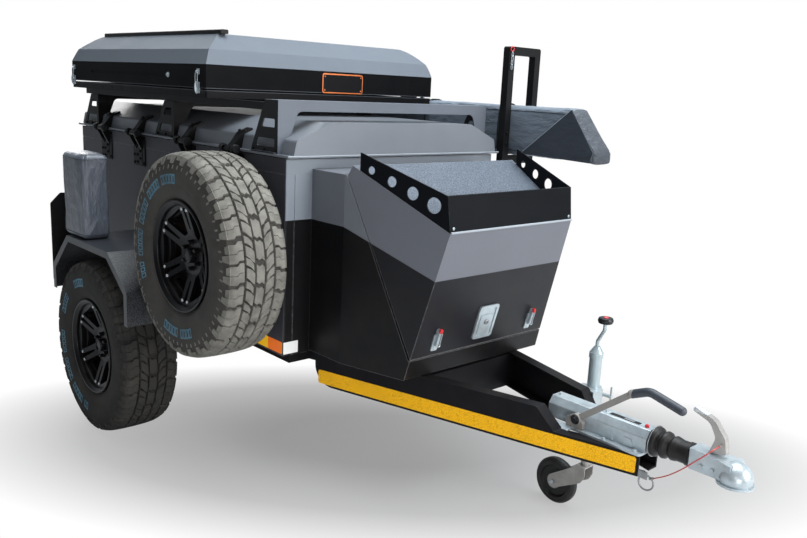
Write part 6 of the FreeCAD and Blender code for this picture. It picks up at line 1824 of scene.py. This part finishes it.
@dataclass
class TentDressing:
    """The tent's draw latches, lock, blank plate, rivets, and painted highlights along its edges."""

    half: float = 647.0
    rear: float = -983.0
    front: float = 468.0
    seam: float = 1583.0
    latches: Flat = (404.0, -952.0)
    plate: tuple[float, float, float, float] = (-51.0, 189.0, 1586.0, 1676.0)
    lock: Flat = (132.0, 1636.0)
    rivet_pitch: float = 118.0

    def latch(self, kit: Kit, ahead: float, side: Side) -> None:
        """A chrome draw latch whose wire loop hooks over a catch on the shell.

        Args:
            ahead: Its place along the tent.
            side: Its side of the tent.
        """
        out = side.out
        lower, upper = kit.on(Paint.zinc, "lid"), kit.on(Paint.zinc, "tent_lid")
        base = look(at_axle(ahead, self.half * side.value, 1588), out, UP)
        lower.plate((0.046, 0.024, 0.003), base, -0.0005, 0.0025, 0.0005)
        lever = [base @ Vector(spot) for spot in ((-0.022, 0, 0.004), (-0.012, 0, 0.010),
                                                  (0.008, 0, 0.012), (0.026, 0, 0.008))]
        lower.tube(smooth_line(lever, 4), 0.0075, 8, flat=0.45)
        loop = [base @ Vector(spot) for spot in ((0.004, -0.009, 0.010), (0.05, -0.009, 0.010),
                                                 (0.062, -0.005, 0.009), (0.062, 0.005, 0.009),
                                                 (0.05, 0.009, 0.010), (0.004, 0.009, 0.010))]
        upper.tube(smooth_line(loop, 4), 0.0016, 8)
        catch = base @ Matrix.Translation((0.066, 0, 0))
        upper.plate((0.024, 0.022, 0.003), catch, -0.0005, 0.0022)
        hook = [catch @ Vector(spot) for spot in ((0.002, 0, 0.001), (0.002, 0, 0.007), (-0.001, 0, 0.012))]
        upper.tube(hook, 0.0035, 8)
        for move in (-0.008, 0.008):
            kit.fasten(catch @ Vector((0.006, move, 0.002)), out, 0.002, Paint.steel, "tent_lid",
                       Fastener.RIVET)

    def build(self) -> None:
        """Add everything on the tent."""
        kit = Kit("tent_trim")
        # Painted highlights: thin pale tubes along the seam, on the lid and on the tent's lid.
        lips = ((self.seam - 5.5, "lid"), (self.seam + 4.5, "tent_lid"))
        for side in Side:
            for ahead in self.latches:
                self.latch(kit, ahead, side)
            for up, body in lips:
                left = (self.half + 0.2) * side.value
                edge = [at_axle(ahead, left, up) for ahead in (self.rear, self.front)]
                kit.on(Paint.dull_edge, body).tube(edge, 0.0011, 6)
            lock = look(at_axle(self.lock[0], (self.half - 1) * side.value, self.lock[1]), side.out)
            barrel = [(0.011, 0.0), (0.011, 0.004), (0.008, 0.006), (0.0075, 0.009), (0, 0.009)]
            kit.on(Paint.zinc, "tent_lid").turned(barrel, lock, 20)
        for up, body in lips:
            edge = [at_axle(self.front + 0.2, out, up) for out in (-self.half, self.half)]
            kit.on(Paint.dull_edge, body).tube(edge, 0.0011, 6)
        low, high, bottom, top = self.plate
        wide, tall = (high - low) * MM, (top - bottom) * MM
        place = look(at_axle(self.front, (low + high) / 2, (bottom + top) / 2), AHEAD, LEFT)
        kit.on(Paint.orange, "tent_lid").plate((wide, tall, 0.012, 6), place, -0.0005, 0.0026, 0.0006)
        inner = (wide - 0.011, tall - 0.011, 0.008, 6)
        kit.on(Paint.tent_tray, "tent_lid").plate(inner, place, 0.002, 0.0034, 0.0003)
        for along in (-1, 1):
            for up in (-1, 1):
                point = place @ Vector((along * (wide / 2 - 0.014), up * (tall / 2 - 0.014), 0.0034))
                kit.fasten(point, AHEAD, 0.0034, Paint.orange, "tent_lid", Fastener.RIVET)
        count = int((self.front - self.rear - 80) / self.rivet_pitch)
        for index in range(count + 1):
            ahead = self.rear + 40 + index * self.rivet_pitch
            for side in Side:
                kit.fasten(at_axle(ahead, self.half * side.value, 1562), side.out, 0.0034, Paint.tent_tray,
                           "lid", Fastener.RIVET)
        kit.make()


# Bags, hoop and hitch


@dataclass
class AwningBag:
    """The long awning bag: creased cloth over a rolled awning, with piping and a dark end flap."""

    rear: float = -1000.0
    front: float = 1500.0
    right: float = 657.0
    left: float = 789.0
    low: float = 1336.0
    high: float = 1574.0
    peak: float = 1362.0
    toe: float = 1392.0
    roundness: float = 0.42
    slack: float = 2.5
    sag_depth: float = 4.5
    pull_depth: float = 7.0
    end_fade: float = 60.0
    least_inset: float = 0.4
    straps: tuple[float, ...] = (-820.0, -250.0, 420.0, 930.0)
    seams: tuple[float, ...] = (0.40, 0.60, 0.90, 0.10)
    flap: Line = ((1088.0, 1352.0), (1362.0, 1568.0), (1494.0, 1390.0), (1480.0, 1342.0))
    columns: int = 150
    rows: int = 44

    def section(self, ahead: float, turn: float) -> Vector:
        """A point of the bag's skin.

        Args:
            ahead: Its place along the bag.
            turn: Its turn round the bag, from 0 to 1.

        Returns:
            The point in the frame.
        """
        top = self.high
        if ahead > self.peak:
            top = self.high - (self.high - self.toe) * (ahead - self.peak) / (self.front - self.peak)
        middle, half = (self.right + self.left) / 2, (self.left - self.right) / 2
        up, rise = (self.low + top) / 2, (top - self.low) / 2
        angle = turn * FULL_TURN
        wide, tall = squarish(angle, self.roundness)
        sag = noise.noise(Vector((ahead * 0.006, angle, 3.0)))
        pull = abs(noise.noise(Vector((ahead * 0.016 + 0.4 * angle, angle * 1.4, 9.0))))
        ends = min(ahead - self.rear, self.front - ahead) / self.end_fade
        sunk = self.slack + self.sag_depth * sag + self.pull_depth * (0.3 - min(pull, 0.3))
        inset = max(sunk * (0.4 + 0.6 * min(max(ends, 0.0), 1.0)), self.least_inset)
        return at_axle(ahead, middle + (half - inset) * wide, up + (rise - inset) * tall)

    def build(self) -> None:
        """Make the bag in the place of its node, with its flap, piping and straps."""
        shape = Shape()
        rings = []
        for column in range(self.columns + 1):
            ahead = self.rear + 3 + (self.front - self.rear - 6) * column / self.columns
            rings.append(shape.ring(self.section(ahead, row / self.rows) for row in range(self.rows)))
        shape.skin(rings)
        for ring, out in ((rings[0], -0.002), (rings[-1], 0.002)):
            centre = sum((vertex.co for vertex in ring), Vector()) / len(ring)
            inner = shape.ring(vertex.co.lerp(centre, 0.25) + Vector((out, 0, 0)) for vertex in ring)
            middle = shape.ring([centre + Vector((out * 1.3, 0, 0))])
            shape.bridge(ring, inner)
            shape.bridge(inner, middle)
        bag = shape.piece("awning_bag_cloth", Paint.canvas)
        smooth(bag)
        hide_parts("awning_bag")
        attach(bag, "trailer")
        kit = Kit("bag_trim")
        for turn in self.seams:
            seam = [self.section(self.rear + 8 + (self.front - self.rear - 16) * step / 90, turn)
                    for step in range(91)]
            kit.on(Paint.flap).tube(seam, 0.0022, 6)
        for ahead in self.straps:
            band = [self.section(ahead, step / 48) for step in range(48)]
            kit.on(Paint.webbing).tube(band, 0.0125, 6, closed=True, flat=0.14)
        outline = [(ahead * MM, up * MM) for ahead, up in self.flap]
        place = Matrix.Translation((AXLE_X, (self.right + 2.5) * MM, 0))
        place = place @ Matrix.Rotation(math.pi / 2, 4, "X")
        kit.on(Paint.flap).prism(outline[::-1], place, 0.0, 0.004, 0.001)
        hem = smooth_line([at_axle(ahead, self.right - 1.5, up) for ahead, up in self.flap[:2]], 8)
        kit.on(Paint.piping).tube(hem, 0.0016, 6)
        kit.make()


@dataclass
class CoverBag:
    """The upright vinyl bag behind the spare wheel: rounded, with soft creases and corner piping."""

    rear: float = -302.0
    front: float = -42.0
    outer: float = 984.0
    inner: float = 838.0
    low: float = 884.3
    high: float = 1272.0
    roundness: float = 0.36
    end_round: float = 26.0
    end_share: float = 0.075
    slack: float = 5.0
    fold_depth: float = 5.0
    crease_depth: float = 9.0
    least_inset: float = 0.6
    rings: int = 46
    sides: int = 88

    def spot(self, turn: float, share: float) -> Vector:
        """A point of the bag's skin.

        Args:
            turn: Its turn round the bag, from 0 to 1.
            share: Its share of the bag's height.

        Returns:
            The point in the frame.
        """
        half_long, half_wide = (self.front - self.rear) / 2, (self.outer - self.inner) / 2
        ends = min(share, 1 - share)
        shrink = self.end_round * (1 - math.sqrt(max(0.0, 1 - (1 - min(ends / self.end_share, 1)) ** 2)))
        angle = turn * FULL_TURN
        along, across = squarish(angle, self.roundness)
        up = self.low + (self.high - self.low) * share
        fold = noise.noise(Vector((angle * 1.7, up * 0.0045, 1.0)))
        crease = abs(noise.noise(Vector((angle * 3.2 + up * 0.003, up * 0.006, 5.0))))
        inset = self.slack + self.fold_depth * fold + self.crease_depth * (0.25 - min(crease, 0.25)) + shrink
        inset = max(inset, self.least_inset)
        return at_axle((self.front + self.rear) / 2 + (half_long - inset) * along,
                       -(self.outer + self.inner) / 2 + (half_wide - inset) * across, up)

    def build(self) -> None:
        """Make the bag in the place of its node."""
        shape = Shape()
        rings = [shape.ring(self.spot(side / self.sides, level / self.rings) for side in range(self.sides))
                 for level in range(self.rings + 1)]
        shape.skin(rings)
        for ring in (rings[0], rings[-1]):
            centre = sum((vertex.co for vertex in ring), Vector()) / len(ring)
            shape.bridge(ring, shape.ring([centre]))
        bag = shape.piece("cover_bag_cloth", Paint.vinyl)
        smooth(bag)
        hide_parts("cover_bag")
        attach(bag, "trailer")
        kit = Kit("cover_bag_trim")
        for share in (0.06, 0.94):
            seam = [self.spot(side / self.sides, share) for side in range(self.sides)]
            kit.on(Paint.flap).tube(seam, 0.0022, 6, closed=True)
        zipper = [self.spot(0.60, 0.08 + 0.84 * step / 30) for step in range(31)]
        kit.on(Paint.webbing).tube(zipper, 0.004, 6, flat=0.5)
        kit.make()


@dataclass
class HoopDressing:
    """The awning hoop's bolts, and a clip and chain that hang from it."""

    uprights: Flat = (629.0, 816.0)
    face: float = 1019.0
    bolts_up: Flat = (1390.0, 1440.0)
    ring_radius: float = 0.0105
    link: Flat = (0.005, 0.0115)
    link_step: float = 0.019

    def build(self) -> None:
        """Add the bolts, a ring and four links."""
        kit = Kit("hoop_trim")
        for out in self.uprights:
            for up in self.bolts_up:
                kit.seat("awning_hoop", at_axle(1200, out, up), BACK, 0.009, Paint.black)
        top = at_axle(self.face + 5, self.uprights[0] - 8, 1826)
        ring = [top + Vector((0, math.cos(a), math.sin(a))) * self.ring_radius for a in turns(16)]
        kit.on(Paint.red).tube(ring, 0.0028, 8, closed=True)
        wide, tall = self.link
        for index in range(4):
            middle = top + Vector((0.003, 0, -0.024 - self.link_step * index))
            across = (AHEAD if index % 2 else LEFT) * wide
            link = [middle + across * math.cos(a) + UP * (tall * math.sin(a)) for a in turns(14)]
            kit.on(Paint.zinc).tube(link, 0.0016, 6, closed=True)
        kit.make()


@dataclass
class HitchDressing:
    """Bolts, pivot drum, bands and marks of the coupling and the jockey stand."""

    plate_bolts: Line = ((2022.0, 62.0), (2272.0, 62.0), (2150.0, 66.0))
    pivot: Point = (2032.0, -64.0, 515.0)
    drum: Line = ((0.016, -0.012), (0.018, 0.0), (0.018, 0.008), (0.014, 0.013), (0.011, 0.013),
                  (0.010, 0.018), (0.0, 0.018))
    hat_top: float = 556.0
    bellows: Point = (2303.0, 2444.0, 516.0)
    wheel: Point = (1777.0, 214.0, 95.0)
    hub_half: float = 21.4
    knob: Point = (1931.0, 214.0, 819.0)
    mark_plate: Flat = (2190.0, -4.0)
    button: Flat = (2276.0, -8.0)
    housing_bolts: Flat = (1912.0, 2112.0)
    head_bolts: Flat = (2490.0, 2528.0)
    clamp_bolts: Flat = (1880.0, 1930.0)
    clamp_up: float = 505.0
    brace: Point = (1968.0, 78.0, 476.0)
    brace_lean: float = 0.25

    def build(self) -> None:
        """Add every small piece from the pivot to the jockey wheel."""
        kit = Kit("hitch_trim")
        for ahead, out in self.plate_bolts:
            for side in Side:
                kit.seat("coupling_housing", at_axle(ahead, out * side.value, 700), DOWN, 0.010, Paint.zinc)
        drum = look(at_axle(*self.pivot), RIGHT)
        kit.on(Paint.rubber).turned(self.drum, drum, 28)
        top = look(at_axle(*self.mark_plate, self.hat_top), UP, AHEAD)
        kit.on(Paint.plastic).plate((0.118, 0.020, 0.003), top, -0.0002, 0.0008)
        patch = top @ Matrix.Translation((0.016, 0, 0))
        kit.on(Paint.grey_plastic).plate((0.040, 0.012, 0.002), patch, 0.0006, 0.0012)
        dot = look(at_axle(*self.button, self.hat_top), UP)
        kit.on(Paint.red).turned([(0.0075, -0.001), (0.0075, 0.006), (0.005, 0.009), (0, 0.0095)], dot, 16)
        for ahead in self.housing_bolts:
            kit.seat("coupling_housing", at_axle(ahead, 0, 700), DOWN, 0.008, Paint.zinc)
        for side in Side:
            ahead, out, up = self.brace
            lean = Vector((0, self.brace_lean * side.value, 1))
            brace = look(at_axle(ahead, out * side.value, up), lean, AHEAD)
            kit.on(Paint.zinc).plate((0.105, 0.034, 0.004), brace, -0.002, 0.003, 0.0008)
            kit.fasten(brace @ Vector((-0.034, 0, 0.003)), lean, 0.009, Paint.zinc)
        for ahead, radius in ((self.bellows[0] + 7, 0.0515), (self.bellows[1] - 6, 0.034)):
            ring = look(at_axle(ahead, 0, self.bellows[2]), AHEAD)
            spots = [ring @ Vector((radius * math.cos(a), radius * math.sin(a), 0)) for a in turns(40)]
            kit.on(Paint.steel).tube(spots, 0.003, 8, closed=True, flat=0.5)
        for ahead in self.head_bolts:
            for side in Side:
                kit.seat("coupling_head", at_axle(ahead, 120 * side.value, 505), side.inward, 0.009,
                         Paint.zinc)
        kit.make()
        stand = Kit("jockey_trim")
        cap = [(0.011, -0.001), (0.011, 0.001), (0.008, 0.0035), (0, 0.004)]
        stand.on(Paint.red, "jockey_tube").turned(cap, look(at_axle(*self.knob), UP), 20)
        ahead, left, up = self.wheel
        for way in Side:
            hub = look(at_axle(ahead, left + self.hub_half * way.value, up), way.out)
            disc = [(0.030, -0.006), (0.030, 0.0012), (0.024, 0.0022), (0.012, 0.0016), (0, 0.0016)]
            stand.on(Paint.grey_plastic, "jockey_wheel").turned(disc, hub, 28)
            stand.seat("jockey_fork", at_axle(ahead, left + 90 * way.value, up), way.inward, 0.010,
                       Paint.zinc, "jockey_fork")
        for ahead in self.clamp_bolts:
            stand.seat("jockey_clamp", at_axle(ahead, 400, self.clamp_up), RIGHT, 0.009, Paint.zinc)
        stand.make()


@dataclass
class BreakawayCable:
    """The red coated wire from the coupling handle to the ring below the right rail."""

    route: tuple[Point, ...] = (
        (2535, -20, 585), (2535, -44, 585), (2524, -66, 570), (2496, -78, 540), (2458, -84, 498),
        (2418, -82, 462), (2381, -72, 434), (2350, -58, 414))
    diameter: float = 0.004
    length: float = 0.2912

    def build(self) -> None:
        """Lay the wire along its route."""
        data = bpy.data.curves.new("breakaway_wire", "CURVE")
        data.dimensions = "3D"
        data.bevel_depth = self.diameter / 2
        data.bevel_resolution = 4
        data.resolution_u = 16
        data.use_fill_caps = True
        line = data.splines.new("NURBS")
        line.points.add(len(self.route) - 1)
        for point, spot in zip(line.points, self.route):
            point.co = (*at_axle(*spot), 1.0)
        line.order_u = 3
        line.use_endpoint_u = True
        data.materials.append(Paint.cable.material())
        wire = bpy.data.objects.new("breakaway_wire", data)
        bpy.context.scene.collection.objects.link(wire)
        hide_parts("breakaway_cable")
        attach(wire, "trailer")


def main() -> None:
    """Build the studio and dress the trailer."""
    logging.basicConfig(level=logging.INFO, format="%(message)s")
    Studio().build()
    Paint().dress()
    assemblies = (RunningGear(), BodyDressing(), RailTape(), NoseDressing(), LidDressing(), TentDressing(),
                  AwningBag(), CoverBag(), HoopDressing(), HitchDressing(), BreakawayCable())
    for assembly in assemblies:
        LOG.info("building %s", type(assembly).__name__)
        assembly.build()


if __name__ == "__main__":
    main()
